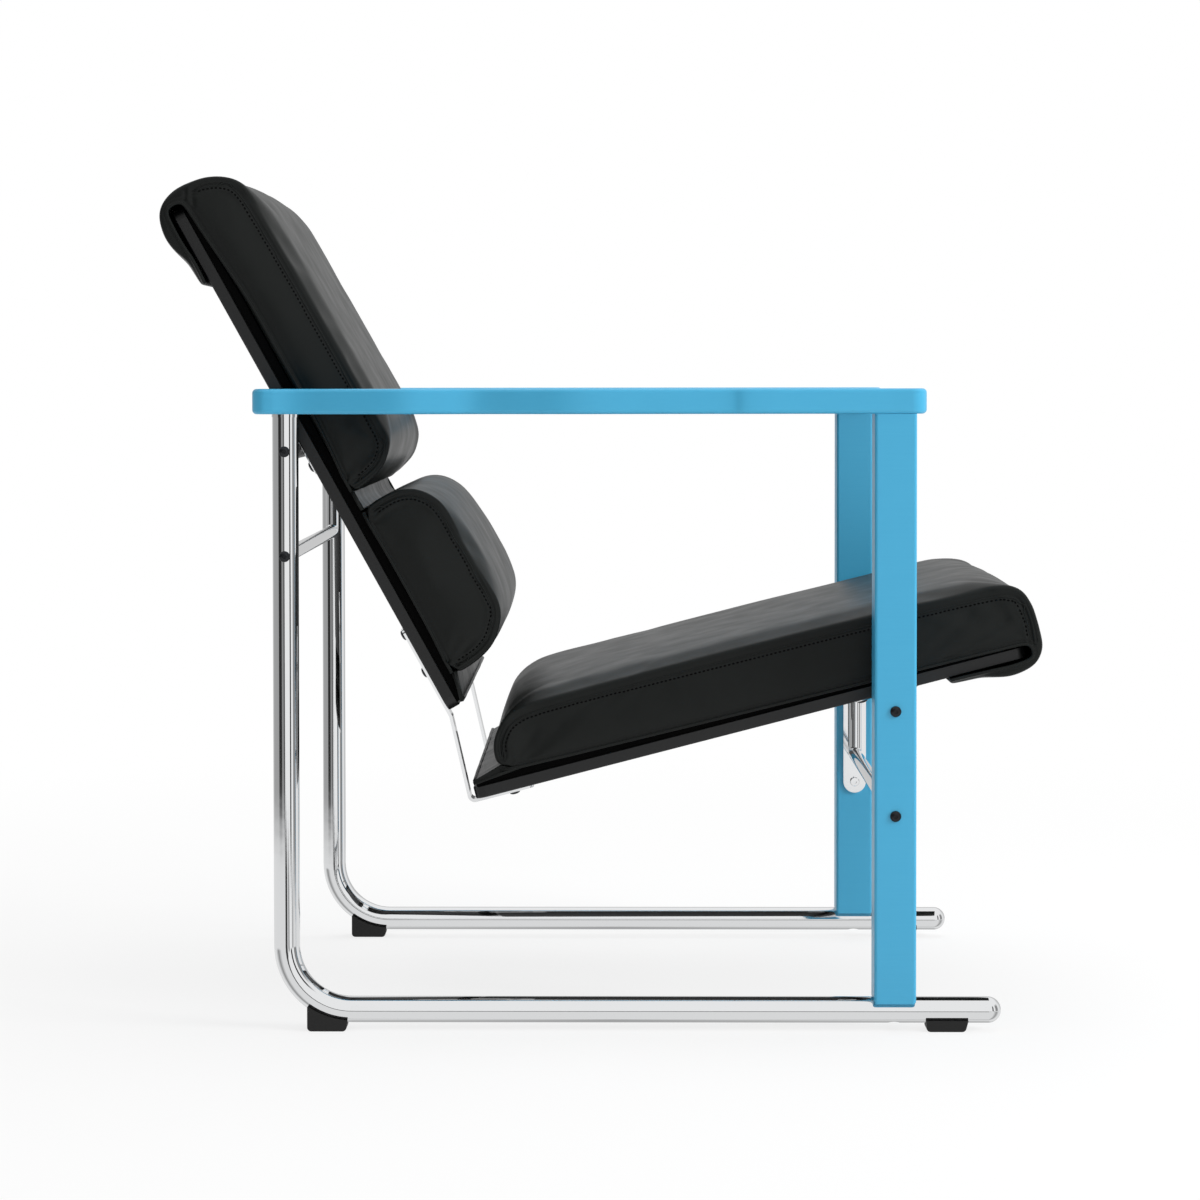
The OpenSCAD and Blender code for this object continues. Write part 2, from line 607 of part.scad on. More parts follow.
// Black tube between the arms of a cross rod
module cross_tube(x, z, arm_y) {
    half = arm_y - rod_d / 2;
    color([0.12, 0.12, 0.13]) difference() {
        along_y(x, z, -half, half, bar_d);
        along_y(x, z, -half - cut, half + cut, bar_d - 2 * bar_wall);
    }
}
module cross_tube_inserts() {
    color("dimgray") both_sides() for (q = [[rear_axis, rear_arm_y], [front_axis, front_arm_y]]) difference() {
        along_y(q[0].x, q[0].y, q[1] - rod_d / 2 - insert_len, q[1] - rod_d / 2, bar_d - 2 * bar_wall - 2 * seat_gap);
        along_y(q[0].x, q[0].y, q[1] - rod_d / 2 - insert_len - cut, q[1] - rod_d / 2 + cut, screw_d + 2 * seat_gap);
    }
}
// Black frame screws, from the outer face of the side frame into rod and tube
module frame_screws(x, high_z, face_y, arm_y) {
    color([0.1, 0.1, 0.1]) both_sides() {
        translate([x, face_y, high_z]) rotate([-90, 0, 0]) button_screw(face_y - arm_y + rod_d / 2 + frame_screw_grip);
        translate([x, face_y, high_z - screw_pitch]) rotate([-90, 0, 0])
            button_screw(face_y - arm_y + rod_bend_r + frame_screw_grip);
    }
}

// Hanger plates, welded to the cross tube and screwed to the board
module hanger_plates() {
    for (y = [-hanger_y, hanger_y]) translate([0, y, -hanger_t]) linear_extrude(hanger_t) difference() {
        round_plate(2 * hanger_half, hanger_w, flat_round);
        for (x = [-hanger_screw_step, hanger_screw_step]) translate([x, 0]) circle(d = screw_d + 2 * hole_gap);
    }
}
// Screw places on a board, along and across it, for its hanger plates
function hanger_spots(hang) = [for (x = [-1, 1]) for (y = [-1, 1]) [hang + x * hanger_screw_step, y * hanger_y]];
strap_back_start = board_len + strap_off - strap_back_leg;
back_spots = concat(hanger_spots(back_hang), [for (y = [-1, 1]) for (k = [0, 1])
    [strap_back_start + strap_screw_in + k * strap_screw_pitch, y * strap_y]]);
seat_spots = concat(hanger_spots(seat_hang), [for (y = [-1, 1]) [strap_seat_screw, y * strap_y]]);
// Screws from below, with their heads on plates of thickness t
module board_screws(spots, t) {
    for (q = spots) translate([q.x, q.y, -t]) mirror([0, 0, 1]) button_screw(t + board_screw_depth);
}
module hanger_screws() {
    color([0.1, 0.1, 0.1]) {
        on_back() board_screws(hanger_spots(back_hang), hanger_t);
        on_seat() board_screws(hanger_spots(seat_hang), hanger_t);
    }
}
module strap_screws() {
    color([0.1, 0.1, 0.1]) {
        on_back() board_screws([for (k = [4 : 7]) back_spots[k]], strap_t);
        on_seat() board_screws([for (k = [4 : 5]) seat_spots[k]], strap_t);
    }
}
module board_sleeves() {
    color("darkgray") {
        on_back() sleeves(back_spots);
        on_seat() sleeves(seat_spots);
    }
}
module sleeves(spots) {
    for (q = spots) translate([q.x, q.y, 0]) difference() {
        cylinder(h = board_screw_depth + seat_gap, d = sleeve_d);
        translate([0, 0, -cut]) cylinder(h = board_screw_depth + seat_gap + 2 * cut, d = screw_d + 2 * seat_gap);
    }
}

// Flat bar bent twice, from the back board to the underside of the seat board
module link_strap() {
    half = strap_t / 2;
    start = on_back_xz(strap_back_start, -half);
    kink = on_back_xz(board_len + strap_off, -half);
    corner = on_seat_xz(-strap_off, -half);
    end = on_seat_xz(strap_seat_leg, -half);
    line = concat([start], rounded_corner(start, kink, corner, strap_bend + half, 5),
        rounded_corner(kink, corner, end, strap_bend + half, 8), [end]);
    n = len(line);
    normals = [for (i = [0 : n - 1]) let(t = line[min(i + 1, n - 1)] - line[max(i - 1, 0)]) [-t.y, t.x] / norm(t)];
    sides = concat([for (i = [0 : n - 1]) line[i] + half * normals[i]],
        [for (i = [n - 1 : -1 : 0]) line[i] - half * normals[i]]);
    color("silver") difference() {
        translate([0, strap_y, 0]) upright(strap_w) polygon(sides);
        on_back() strap_holes(back_spots);
        on_seat() strap_holes(seat_spots);
        on_back() translate([strap_back_start, strap_y, 0]) strap_end();
        on_seat() translate([strap_seat_leg, strap_y, 0]) mirror([1, 0, 0]) strap_end();
    }
}
module strap_holes(spots) {
    for (q = spots) translate([q.x, q.y, -strap_t - cut]) cylinder(h = strap_t + 2 * cut, d = screw_d + 2 * hole_gap);
}
// What the round corners take off a strap's end
module strap_end() {
    translate([0, 0, -strap_t - cut]) linear_extrude(strap_t + 2 * cut) difference() {
        square([2 * flat_round, strap_w + 2 * cut], center = true);
        translate([strap_w / 2, 0]) round_plate(strap_w, strap_w, flat_round);
    }
}

// Plywood board with round corners and chamfered edges, from z = 0 up
module board(spots) {
    color([0.13, 0.13, 0.14]) difference() {
        translate([board_len / 2, 0, 0]) hull() {
            translate([0, 0, board_chamfer]) linear_extrude(board_t - 2 * board_chamfer)
                round_plate(board_len, board_w, board_corner, $fn = 32);
            linear_extrude(board_t)
                round_plate(board_len - 2 * board_chamfer, board_w - 2 * board_chamfer, board_corner - board_chamfer, $fn = 32);
        }
        for (q = spots) translate([q.x, q.y, -cut])
            cylinder(h = board_screw_depth + cut + 2 * seat_gap, d = sleeve_d + 2 * seat_gap);
    }
}

// Height of the lining near its free end, where it thins
function lining_slope(s) = lining_top
    - (s - board_len + lining_drop) * (lining_top - fold_t) / (lining_drop - lining_t / 2);
// Side outline of the lining: thin at the wrapped end, full over most of the board
function lining_line(gap) = [[0, fold_t + gap], [pad_over, fold_t + gap], [lining_taper, lining_top + gap],
    [board_len - lining_drop, lining_top + gap], [board_len - lining_t / 2, fold_t + gap]];
module lining() {
    line = lining_line(0);
    low = board_t + soft_gap;
    half = pad_w / 2 - lining_set;
    color([0.04, 0.04, 0.04]) upright(2 * half)
        polygon(concat([[pad_over / 2, low], [pad_over / 2, fold_t]], [for (k = [1 : 4]) line[k]], [[line[4].x, low]]));
}

// Cushion between two sides: rolled edges, a crown and sides that draw in
module pad(outline, start, length, height) {
    half = pad_w / 2;
    n = len(outline);
    middle = [start + length / 2, board_t + height / 2];
    low = fold_t + soft_gap;
    inner_shares = [0.86, 0.6, 0.3, 0];
    // Place across the pad and how far its outline shrinks there
    right = concat([for (k = [0 : roll_steps]) [half - pad_roll * (1 - cos(90 * k / roll_steps)),
        pad_roll * (1 - sin(90 * k / roll_steps))]], [for (u = inner_shares) [u * (half - pad_roll), 0]]);
    m = len(right);
    stations = concat([for (q = right) [-q.x, q.y]], [for (k = [m - 2 : -1 : 0]) right[k]]);
    rings = [for (v = stations) [for (p = outline)
        let(lift = min(1, max(0, (p.y - lining_top) / height)), bow = 1 - pow(v.x / half, 2),
            along = 2 * (p.x - middle.x) / length, draw = pad_draw * max(0, 1 - along * along) * (1 - bow))
        [middle.x + (p.x - middle.x) * (1 - 2 * v.y / length), v.x - sign(v.x) * draw,
            low + (p.y - low) * (1 - v.y / height) + pad_crown * lift * bow]]];
    count = len(rings);
    ends = [[middle.x, -half + pad_draw, middle.y], [middle.x, half - pad_draw, middle.y]];
    points = concat([for (r = rings) for (p = r) p], ends);
    color([0.15, 0.15, 0.16]) polyhedron(points, concat(
        [for (i = [0 : n - 1]) [count * n, i, (i + 1) % n]], ring_faces(n, count),
        [for (i = [0 : n - 1]) [count * n + 1, (count - 1) * n + (i + 1) % n, (count - 1) * n + i]]));
}
// Pad outlines: the smooth top line, then the underside along the lining
function upper_outline() = let(top = scaled(upper_outline_shares, [-pad_over, board_t], [upper_len, upper_h]),
    low = lining_line(soft_gap), end = upper_len - pad_over - strip_t / 2)
    concat(curve_through(top, 2), [[end, lining_top + soft_gap], [end / 2, lining_top + soft_gap], low[2], low[1],
        [-pad_over + strip_t / 2, low[0].y]]);
function lower_outline() = let(low = lining_top + soft_gap,
    top = scaled(lower_outline_shares, [lower_start, board_t], [lower_len, lower_h]))
    concat(curve_through(top, 2), [[lower_start + lower_len - strip_t, low],
        [lower_start + lower_len / 2, low], [lower_start + strip_t, low]]);
function seat_outline() = let(low = [for (p = lining_line(soft_gap)) [board_len - p.x, p.y]],
    top = scaled(seat_outline_shares, [seat_start, board_t], [seat_len, seat_h]))
    concat(curve_through(top, 2), [[board_len + pad_over - strip_t / 2, low[0].y], low[1], low[2],
        [board_len / 2, lining_top + soft_gap], [seat_start + strip_t, lining_top + soft_gap]]);

// Leather strip from s0 to s1 that lies on the lining and ends in a rounded edge
module flat_strip(s0, t0, s1, t1) {
    r = strip_t / 3;
    base = [[s0, t0], [s1, t1]];
    color([0.17, 0.17, 0.18]) upright(pad_w - 2 * lining_set / 3) polygon(concat([base[0], base[1]],
        rounded_corner(base[1], [s1, t1 + strip_t], [s0, t0 + strip_t], r, 4),
        rounded_corner([s1, t1 + strip_t], [s0, t0 + strip_t], base[0], r, 4)));
}
// Padded leather pocket hooked round the end of a board
module pocket(depth) {
    outer = scaled(pocket_outer_shares, [0, 0], [pocket_reach, depth]);
    inner = scaled(pocket_inner_shares, [0, 0], [pocket_reach, depth]);
    lip = pad_over / 2 - soft_gap;
    color([0.16, 0.16, 0.17]) upright(pad_w - 2 * strip_t) polygon(concat(
        curve_through(concat([[-pad_over + strip_t / 6, fold_t]], outer), 2),
        curve_through(inner, 2),
        [[-4 * soft_gap, 0], [-4 * soft_gap, board_t + soft_gap], [lip, board_t + soft_gap], [lip, fold_t]]));
}

module right_side_tube() left_or_right(true) side_tube();
module left_side_tube() left_or_right(false) side_tube();
module right_tube_end_cap() left_or_right(true) tube_end_cap();
module left_tube_end_cap() left_or_right(false) tube_end_cap();
module right_tube_top_plug() left_or_right(true) tube_top_plug();
module left_tube_top_plug() left_or_right(false) tube_top_plug();
module right_rear_foot() left_or_right(true) foot(true);
module left_rear_foot() left_or_right(false) foot(true);
module right_front_foot() left_or_right(true) foot(false);
module left_front_foot() left_or_right(false) foot(false);
module right_front_post() left_or_right(true) front_post();
module left_front_post() left_or_right(false) front_post();
module right_armrest() left_or_right(true) armrest();
module left_armrest() left_or_right(false) armrest();
module right_post_plate() left_or_right(true) post_plate();
module left_post_plate() left_or_right(false) post_plate();
module rear_cross_rod() cross_rod(-upright_set, rear_low_z, rear_arm_y);
module front_cross_rod() cross_rod(post_set, front_low_z, front_arm_y);
module rear_cross_tube() cross_tube(rear_axis.x, rear_axis.y, rear_arm_y);
module front_cross_tube() cross_tube(front_axis.x, front_axis.y, front_arm_y);
module rear_frame_screws() frame_screws(-upright_set, rear_screw_z, frame_y + tube_d / 2, rear_arm_y);
module front_frame_screws() frame_screws(post_set, front_screw_z, frame_y + post_w / 2, front_arm_y);
module back_hanger_plates() color("silver") on_back() translate([back_hang, 0, 0]) hanger_plates();
module seat_hanger_plates() color("silver") on_seat() translate([seat_hang, 0, 0]) hanger_plates();
module right_link_strap() left_or_right(true) link_strap();
module left_link_strap() left_or_right(false) link_strap();
module back_board() on_back() board(back_spots);
module seat_board() on_seat() board(seat_spots);
module back_lining() on_back() lining();
module seat_lining() on_seat() translate([board_len, 0, 0]) mirror([1, 0, 0]) lining();
module upper_back_pad() on_back() pad(upper_outline(), -pad_over, upper_len, upper_h);
module lower_back_pad() on_back() pad(lower_outline(), lower_start, lower_len, lower_h);
module seat_pad() on_seat() pad(seat_outline(), seat_start, seat_len, seat_h);
module back_bridge_strip() on_back() flat_strip(upper_len - pad_over + soft_gap, lining_top + soft_gap,
    lower_start - soft_gap, lining_top + soft_gap);
module end_strip(s0) {
    s1 = board_len - lining_t / 2;
    flat_strip(s0, lining_slope(s0) + soft_gap, s1, lining_slope(s1) + soft_gap);
}
module back_end_strip() on_back() end_strip(lower_start + lower_len + soft_gap);
module seat_end_strip() on_seat() translate([board_len, 0, 0]) mirror([1, 0, 0])
    end_strip(board_len - seat_start + soft_gap);
module back_top_pocket() on_back() pocket(back_pocket_depth);
module seat_front_pocket() on_seat() translate([board_len, 0, 0]) mirror([1, 0, 0]) pocket(seat_pocket_depth);

right_side_tube();
left_side_tube();
right_tube_end_cap();
left_tube_end_cap();
right_tube_top_plug();
left_tube_top_plug();
armrest_studs();
right_rear_foot();
left_rear_foot();
right_front_foot();
left_front_foot();
right_front_post();
left_front_post();
post_bolts();
right_armrest();
left_armrest();
armrest_dowels();
right_post_plate();
left_post_plate();
plate_bolts();
rear_cross_rod();
front_cross_rod();
rear_cross_tube();
front_cross_tube();
cross_tube_inserts();
rear_frame_screws();
front_frame_screws();
back_hanger_plates();
seat_hanger_plates();
hanger_screws();
right_link_strap();
left_link_strap();
strap_screws();
back_board();
seat_board();
board_sleeves();
back_lining();
seat_lining();
upper_back_pad();
lower_back_pad();
seat_pad();
back_bridge_strip();
back_end_strip();
seat_end_strip();
back_top_pocket();
seat_front_pocket();
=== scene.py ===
import json
import math

import bmesh
import bpy
from mathutils import Matrix, Vector, noise
from mathutils.bvhtree import BVHTree


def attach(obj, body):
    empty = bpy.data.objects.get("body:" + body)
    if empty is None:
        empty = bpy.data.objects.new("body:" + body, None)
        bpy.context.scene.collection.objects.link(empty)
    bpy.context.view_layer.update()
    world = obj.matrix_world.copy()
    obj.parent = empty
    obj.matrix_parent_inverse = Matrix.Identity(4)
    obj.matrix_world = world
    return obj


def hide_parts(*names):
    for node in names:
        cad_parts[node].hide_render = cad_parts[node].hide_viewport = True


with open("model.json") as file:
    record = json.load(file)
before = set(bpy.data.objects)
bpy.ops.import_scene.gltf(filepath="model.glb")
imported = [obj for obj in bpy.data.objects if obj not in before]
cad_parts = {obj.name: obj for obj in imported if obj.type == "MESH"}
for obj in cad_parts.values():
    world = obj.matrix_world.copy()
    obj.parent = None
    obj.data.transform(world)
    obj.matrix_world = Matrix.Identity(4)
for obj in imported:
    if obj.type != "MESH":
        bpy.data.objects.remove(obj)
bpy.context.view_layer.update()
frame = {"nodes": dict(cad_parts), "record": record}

nodes = frame["nodes"]
mm = 0.001
sides = ((-1, "Right"), (1, "Left"))
print("packed frame loaded:", len(nodes), "nodes")

# Where the two boards lie, as in the part's source: x along the board, y across it, z out of its padded face
boards = {
    "backAxis": (-301.7, 554.2), "backLean": 29.0, "backHang": 257.0,
    "seatAxis": (279.31, 307.22), "seatSlope": 14.5, "seatHang": 411.5,
    "axisGap": 12.0, "length": 552.0, "width": 480.0, "thickness": 12.0,
}


def boardPlace(axis, along, out, hang):
    start = Vector((axis[0], 0, axis[1])) - hang * along + boards["axisGap"] * out
    columns = (along, Vector((0, 1, 0)), out, start)
    return Matrix([[c[r] for c in columns] for r in range(3)] + [[0, 0, 0, 1]])


lean, slope = math.radians(boards["backLean"]), math.radians(boards["seatSlope"])
backPlace = boardPlace(boards["backAxis"], Vector((math.sin(lean), 0, -math.cos(lean))),
                       Vector((math.cos(lean), 0, math.sin(lean))), boards["backHang"])
seatPlace = boardPlace(boards["seatAxis"], Vector((math.cos(slope), 0, math.sin(slope))),
                       Vector((-math.sin(slope), 0, math.cos(slope))), boards["seatHang"])


# Materials, each named for what it is made of and how

def linear(hexColour):
    channels = [int(hexColour[i:i + 2], 16) / 255 for i in (0, 2, 4)]
    return tuple(c / 12.92 if c <= 0.04045 else ((c + 0.055) / 1.055) ** 2.4 for c in channels) + (1.0,)


def addNode(tree, kind, inputs=None, **settings):
    node = tree.nodes.new("ShaderNode" + kind)
    for name, value in settings.items():
        setattr(node, name, value)
    for name, value in (inputs or {}).items():
        if isinstance(value, bpy.types.NodeSocket):
            tree.links.new(value, node.inputs[name])
        else:
            node.inputs[name].default_value = value
    return node


def newMaterial(name):
    material = bpy.data.materials.new(name)
    material.use_nodes = True
    tree = material.node_tree
    tree.nodes.clear()
    output = addNode(tree, "OutputMaterial")
    shader = addNode(tree, "BsdfPrincipled")
    tree.links.new(shader.outputs["BSDF"], output.inputs["Surface"])
    place = addNode(tree, "TexCoord").outputs["Object"]
    return material, tree, shader, place


def perSize(sizes):
    # A pattern's scale along each axis, from the size of its grains in mm
    return [1 / (size * mm) for size in sizes]


def blackLeather():
    # Aniline-dyed top-grain leather: fine pebbles from the hide, a soft sheen, slightly uneven finish
    look = {"colours": ("161817", "1e201f"), "patchMm": 38.0, "patchRange": (0.3, 0.7),
            "roughness": (0.36, 0.46), "pebbleMm": 1.3, "pebbleRelief": (0.35, 0.15), "creaseMm": 14.0,
            "creaseRelief": (0.5, 0.2), "gloss": (0.14, 0.52), "glossFacing": (0.76, 0.98)}
    material, tree, shader, place = newMaterial("blackTopGrainLeather")
    patches = addNode(tree, "TexNoise", {"Vector": place, "Scale": 1 / (look["patchMm"] * mm), "Detail": 4.0})
    colour = addNode(tree, "MixRGB", {"Fac": patches.outputs["Fac"], "Color1": linear(look["colours"][0]),
                                      "Color2": linear(look["colours"][1])})
    rough = addNode(tree, "MapRange", {"Value": patches.outputs["Fac"], "From Min": look["patchRange"][0],
                                       "From Max": look["patchRange"][1], "To Min": look["roughness"][0],
                                       "To Max": look["roughness"][1]})
    pebbles = addNode(tree, "TexVoronoi", {"Vector": place, "Scale": 1 / (look["pebbleMm"] * mm)},
                      feature="SMOOTH_F1")
    creases = addNode(tree, "TexNoise", {"Vector": place, "Scale": 1 / (look["creaseMm"] * mm), "Detail": 6.0,
                                         "Roughness": 0.6})
    soft = addNode(tree, "Bump", {"Height": creases.outputs["Fac"], "Strength": look["creaseRelief"][0],
                                  "Distance": look["creaseRelief"][1] * mm})
    fine = addNode(tree, "Bump", {"Height": pebbles.outputs["Distance"], "Strength": look["pebbleRelief"][0],
                                  "Distance": look["pebbleRelief"][1] * mm, "Normal": soft.outputs["Normal"]})
    # Leather throws back much more light where it is seen from along its face
    facing = addNode(tree, "LayerWeight", {"Blend": 0.5}).outputs["Facing"]
    gloss = addNode(tree, "MapRange", {"Value": facing, "From Min": look["glossFacing"][0],
                                       "From Max": look["glossFacing"][1], "To Min": look["gloss"][0],
                                       "To Max": look["gloss"][1]})
    tree.links.new(gloss.outputs["Result"], shader.inputs["Specular IOR Level"])
    tree.links.new(colour.outputs["Color"], shader.inputs["Base Color"])
    tree.links.new(rough.outputs["Result"], shader.inputs["Roughness"])
    tree.links.new(fine.outputs["Normal"], shader.inputs["Normal"])
    return material


def chromePlate():
    # Polished steel under bright chrome: a mirror with the faint waves that polishing leaves
    look = {"tint": "e4e5e6", "waveMm": 14.0, "relief": (0.4, 0.032), "roughness": 0.045}
    material, tree, shader, place = newMaterial("polishedChromePlate")
    waves = addNode(tree, "TexNoise", {"Vector": place, "Scale": 1 / (look["waveMm"] * mm), "Detail": 1.0})
    bump = addNode(tree, "Bump", {"Height": waves.outputs["Fac"], "Strength": look["relief"][0],
                                  "Distance": look["relief"][1] * mm})
    shader.inputs["Base Color"].default_value = linear(look["tint"])
    shader.inputs["Metallic"].default_value = 1.0
    shader.inputs["Roughness"].default_value = look["roughness"]
    tree.links.new(bump.outputs["Normal"], shader.inputs["Normal"])
    return material


def blueLacquer():
    # Pigmented lacquer sprayed on beech: even colour, semi-gloss, a trace of grain and orange peel
    look = {"colours": ("48b0d9", "43abd6"), "grainMm": (60.0, 1.6, 1.6), "grainRelief": (0.12, 0.05),
            "peelMm": 2.6, "peelRelief": (0.10, 0.05), "roughness": 0.34}
    material, tree, shader, place = newMaterial("bluePigmentedLacquer")
    stretch = addNode(tree, "Mapping", {"Vector": place, "Scale": perSize(look["grainMm"])})
    grain = addNode(tree, "TexNoise", {"Vector": stretch.outputs["Vector"], "Scale": 1.0, "Detail": 3.0})
    peel = addNode(tree, "TexNoise", {"Vector": place, "Scale": 1 / (look["peelMm"] * mm), "Detail": 1.0})
    colour = addNode(tree, "MixRGB", {"Fac": grain.outputs["Fac"], "Color1": linear(look["colours"][0]),
                                      "Color2": linear(look["colours"][1])})
    low = addNode(tree, "Bump", {"Height": grain.outputs["Fac"], "Strength": look["grainRelief"][0],
                                 "Distance": look["grainRelief"][1] * mm})
    high = addNode(tree, "Bump", {"Height": peel.outputs["Fac"], "Strength": look["peelRelief"][0],
                                  "Distance": look["peelRelief"][1] * mm, "Normal": low.outputs["Normal"]})
    shader.inputs["Roughness"].default_value = look["roughness"]
    tree.links.new(colour.outputs["Color"], shader.inputs["Base Color"])
    tree.links.new(high.outputs["Normal"], shader.inputs["Normal"])
    return material


def grainedFinish(name, look):
    # One pattern of grains, even or stretched along an axis, gives a finish its two colours and its relief.
    # A relief is a strength and a depth in mm
    material, tree, shader, place = newMaterial(name)
    scale = 1.0
    if isinstance(look["grainMm"], tuple):
        stretch = addNode(tree, "Mapping", {"Vector": place, "Scale": perSize(look["grainMm"])})
        place = stretch.outputs["Vector"]
    else:
        scale = 1 / (look["grainMm"] * mm)
    noisy = addNode(tree, "TexNoise", {"Vector": place, "Scale": scale, "Detail": look["detail"]})
    grain = noisy.outputs["Fac"]
    colour = addNode(tree, "MixRGB", {"Fac": grain, "Color1": linear(look["colours"][0]),
                                      "Color2": linear(look["colours"][1])})
    tree.links.new(colour.outputs["Color"], shader.inputs["Base Color"])
    if isinstance(look["roughness"], tuple):
        low, high = look["roughness"]
        rough = addNode(tree, "MapRange", {"Value": grain, "To Min": low, "To Max": high})
        tree.links.new(rough.outputs["Result"], shader.inputs["Roughness"])
    else:
        shader.inputs["Roughness"].default_value = look["roughness"]
    if "relief" in look:
        strength, depth = look["relief"]
        bump = addNode(tree, "Bump", {"Height": grain, "Strength": strength, "Distance": depth * mm})
        tree.links.new(bump.outputs["Normal"], shader.inputs["Normal"])
    for key, socket in (("metallic", "Metallic"), ("gloss", "Specular IOR Level")):
        if key in look:
            shader.inputs[socket].default_value = look[key]
    return material


def stainedPly():
    # Birch plywood stained black under thin lacquer: a satin face with fine pores along the board's width
    look = {"colours": ("101112", "08090a"), "grainMm": (0.9, 40.0, 0.9), "detail": 4.0, "roughness": 0.42,
            "relief": (0.25, 0.08)}
    return grainedFinish("blackStainedPlywood", look)


def feltAndGapShade():
    # Needled felt: hardly any gloss, short fibres in all directions. Its near-black colour is partly painted
    # shade of the gap under the pads
    look = {"colours": ("020202", "070707"), "grainMm": 0.9, "detail": 6.0, "roughness": 0.95,
            "relief": (0.6, 0.3), "gloss": 0.1}
    return grainedFinish("blackNeedledFelt", look)


def mouldedRubber():
    # Moulded black rubber: dull, with the fine texture of its mould
    look = {"colours": ("080808", "0e0e0e"), "grainMm": 0.8, "detail": 3.0, "roughness": (0.55, 0.7),
            "relief": (0.3, 0.1)}
    return grainedFinish("blackMouldedRubber", look)


def powderCoat():
    # Baked powder coat on steel tube: satin black with a slight orange peel
    look = {"colours": ("141416", "1a1a1c"), "grainMm": 2.0, "detail": 2.0, "roughness": 0.38,
            "relief": (0.25, 0.08)}
    return grainedFinish("blackPowderCoat", look)


def blackenedSteel():
    # Black oxide on turned steel: dark, a little shiny, finely mottled
    look = {"colours": ("1c1d1f", "303236"), "grainMm": 0.7, "detail": 2.0, "roughness": 0.24,
            "relief": (0.15, 0.05), "metallic": 0.7}
    return grainedFinish("blackOxideSteel", look)


def zincSteel():
    # Zinc-plated steel as on hidden bolts: grey, half dull, mottled
    look = {"colours": ("8d9091", "a9acad"), "grainMm": 3.0, "detail": 3.0, "roughness": (0.3, 0.5),
            "metallic": 1.0}
    return grainedFinish("zincPlatedSteel", look)


def turnedBeech():
    # Bare beech of the hidden dowels: pale, with short pores along the grain
    look = {"colours": ("b98f62", "d4b083"), "grainMm": (0.8, 0.8, 12.0), "detail": 4.0, "roughness": 0.6}
    return grainedFinish("bareBeech", look)


def threadAndHoleShade():
    # Bonded polyester thread: twisted, deep black, sunk in the leather; its near-black is partly painted
    # shade of the stitch holes
    look = {"colours": ("010101", "040404"), "grainMm": 0.6, "detail": 2.0, "roughness": 0.7, "gloss": 0.08}
    return grainedFinish("bondedPolyesterThread", look)


finishes = {
    "tube_chrome": chromePlate(), "blue_lacquered_wood": blueLacquer(), "black_leather": blackLeather(),
    "black_lining": feltAndGapShade(), "black_board": stainedPly(), "black_rubber": mouldedRubber(),
    "black_paint": powderCoat(), "black_screws": blackenedSteel(), "plain_steel": zincSteel(),
    "dowel_wood": turnedBeech(),
}
thread = threadAndHoleShade()
slotOf = {p["node"]: p["material_slot"] for p in frame["record"]["subparts"]}
for name, node in nodes.items():
    node.data.materials.clear()
    node.data.materials.append(finishes[slotOf[name]])
print("materials made:", len(finishes) + 1)


# Rigid pieces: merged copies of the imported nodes, shaded smooth between their sharp edges

def newPiece(name, bm, slotName, material=None, smooth=True):
    mesh = bpy.data.meshes.new(name)
    bm.to_mesh(mesh)
    bm.free()
    piece = bpy.data.objects.new(name, mesh)
    bpy.context.scene.collection.objects.link(piece)
    mesh.materials.append(material or finishes[slotName])
    mesh.polygons.foreach_set("use_smooth", [smooth] * len(mesh.polygons))
    return piece


def weighted(piece):
    # Flat faces keep their own direction and rounded edges shade softly
    modifier = piece.modifiers.new("weightedNormals", "WEIGHTED_NORMAL")
    modifier.keep_sharp = True


def markSharp(bm, degrees):
    for edge in bm.edges:
        if len(edge.link_faces) == 2 and edge.calc_face_angle(0) > math.radians(degrees):
            edge.smooth = False


rigid = {"mergeMm": 0.005, "sharpDegrees": 38, "boardEdgeMm": 0.8, "boardEdgeSteps": 2,
         "boardEdgeDegrees": 50}


def smoothCopy(node):
    words = node.split("_")
    bm = bmesh.new()
    bm.from_mesh(nodes[node].data)
    bmesh.ops.remove_doubles(bm, verts=bm.verts, dist=rigid["mergeMm"] * mm)
    markSharp(bm, rigid["sharpDegrees"])
    piece = newPiece(words[0] + "".join(w.capitalize() for w in words[1:]) + "Shape", bm, slotOf[node])
    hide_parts(node)
    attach(piece, "root")
    weighted(piece)


rigidNodes = [
    "right_side_tube", "left_side_tube", "right_tube_end_cap", "left_tube_end_cap", "right_tube_top_plug",
    "left_tube_top_plug", "right_rear_foot", "left_rear_foot", "right_front_foot", "left_front_foot",
    "right_front_post", "left_front_post", "right_post_plate", "left_post_plate", "plate_bolts",
    "rear_cross_rod", "front_cross_rod", "rear_cross_tube", "front_cross_tube", "rear_frame_screws",
    "front_frame_screws", "back_hanger_plates", "seat_hanger_plates", "hanger_screws", "right_link_strap",
    "left_link_strap", "strap_screws", "back_board", "seat_board",
]
for node in rigidNodes:
    smoothCopy(node)
# The sanded edges of the boards
for name in ("backBoardShape", "seatBoardShape"):
    board = bpy.data.objects[name]
    board.modifiers.clear()
    edge = board.modifiers.new("sandedEdge", "BEVEL")
    edge.width = rigid["boardEdgeMm"] * mm
    edge.segments = rigid["boardEdgeSteps"]
    edge.limit_method = "ANGLE"
    edge.angle_limit = math.radians(rigid["boardEdgeDegrees"])
    weighted(board)
print("rigid pieces made:", len(rigidNodes))

# Axis of a side tube as in the part's source: upright, bend, runner. The upright's line goes on past its top
tube = {"upright": -301.7, "side": 280.0, "top": 607.0, "runner": 19.5, "bend": 62.5, "end": 369.3,
        "radius": 12.5, "bendSteps": 48, "skinShare": 0.96, "skinFacing": 0.85}


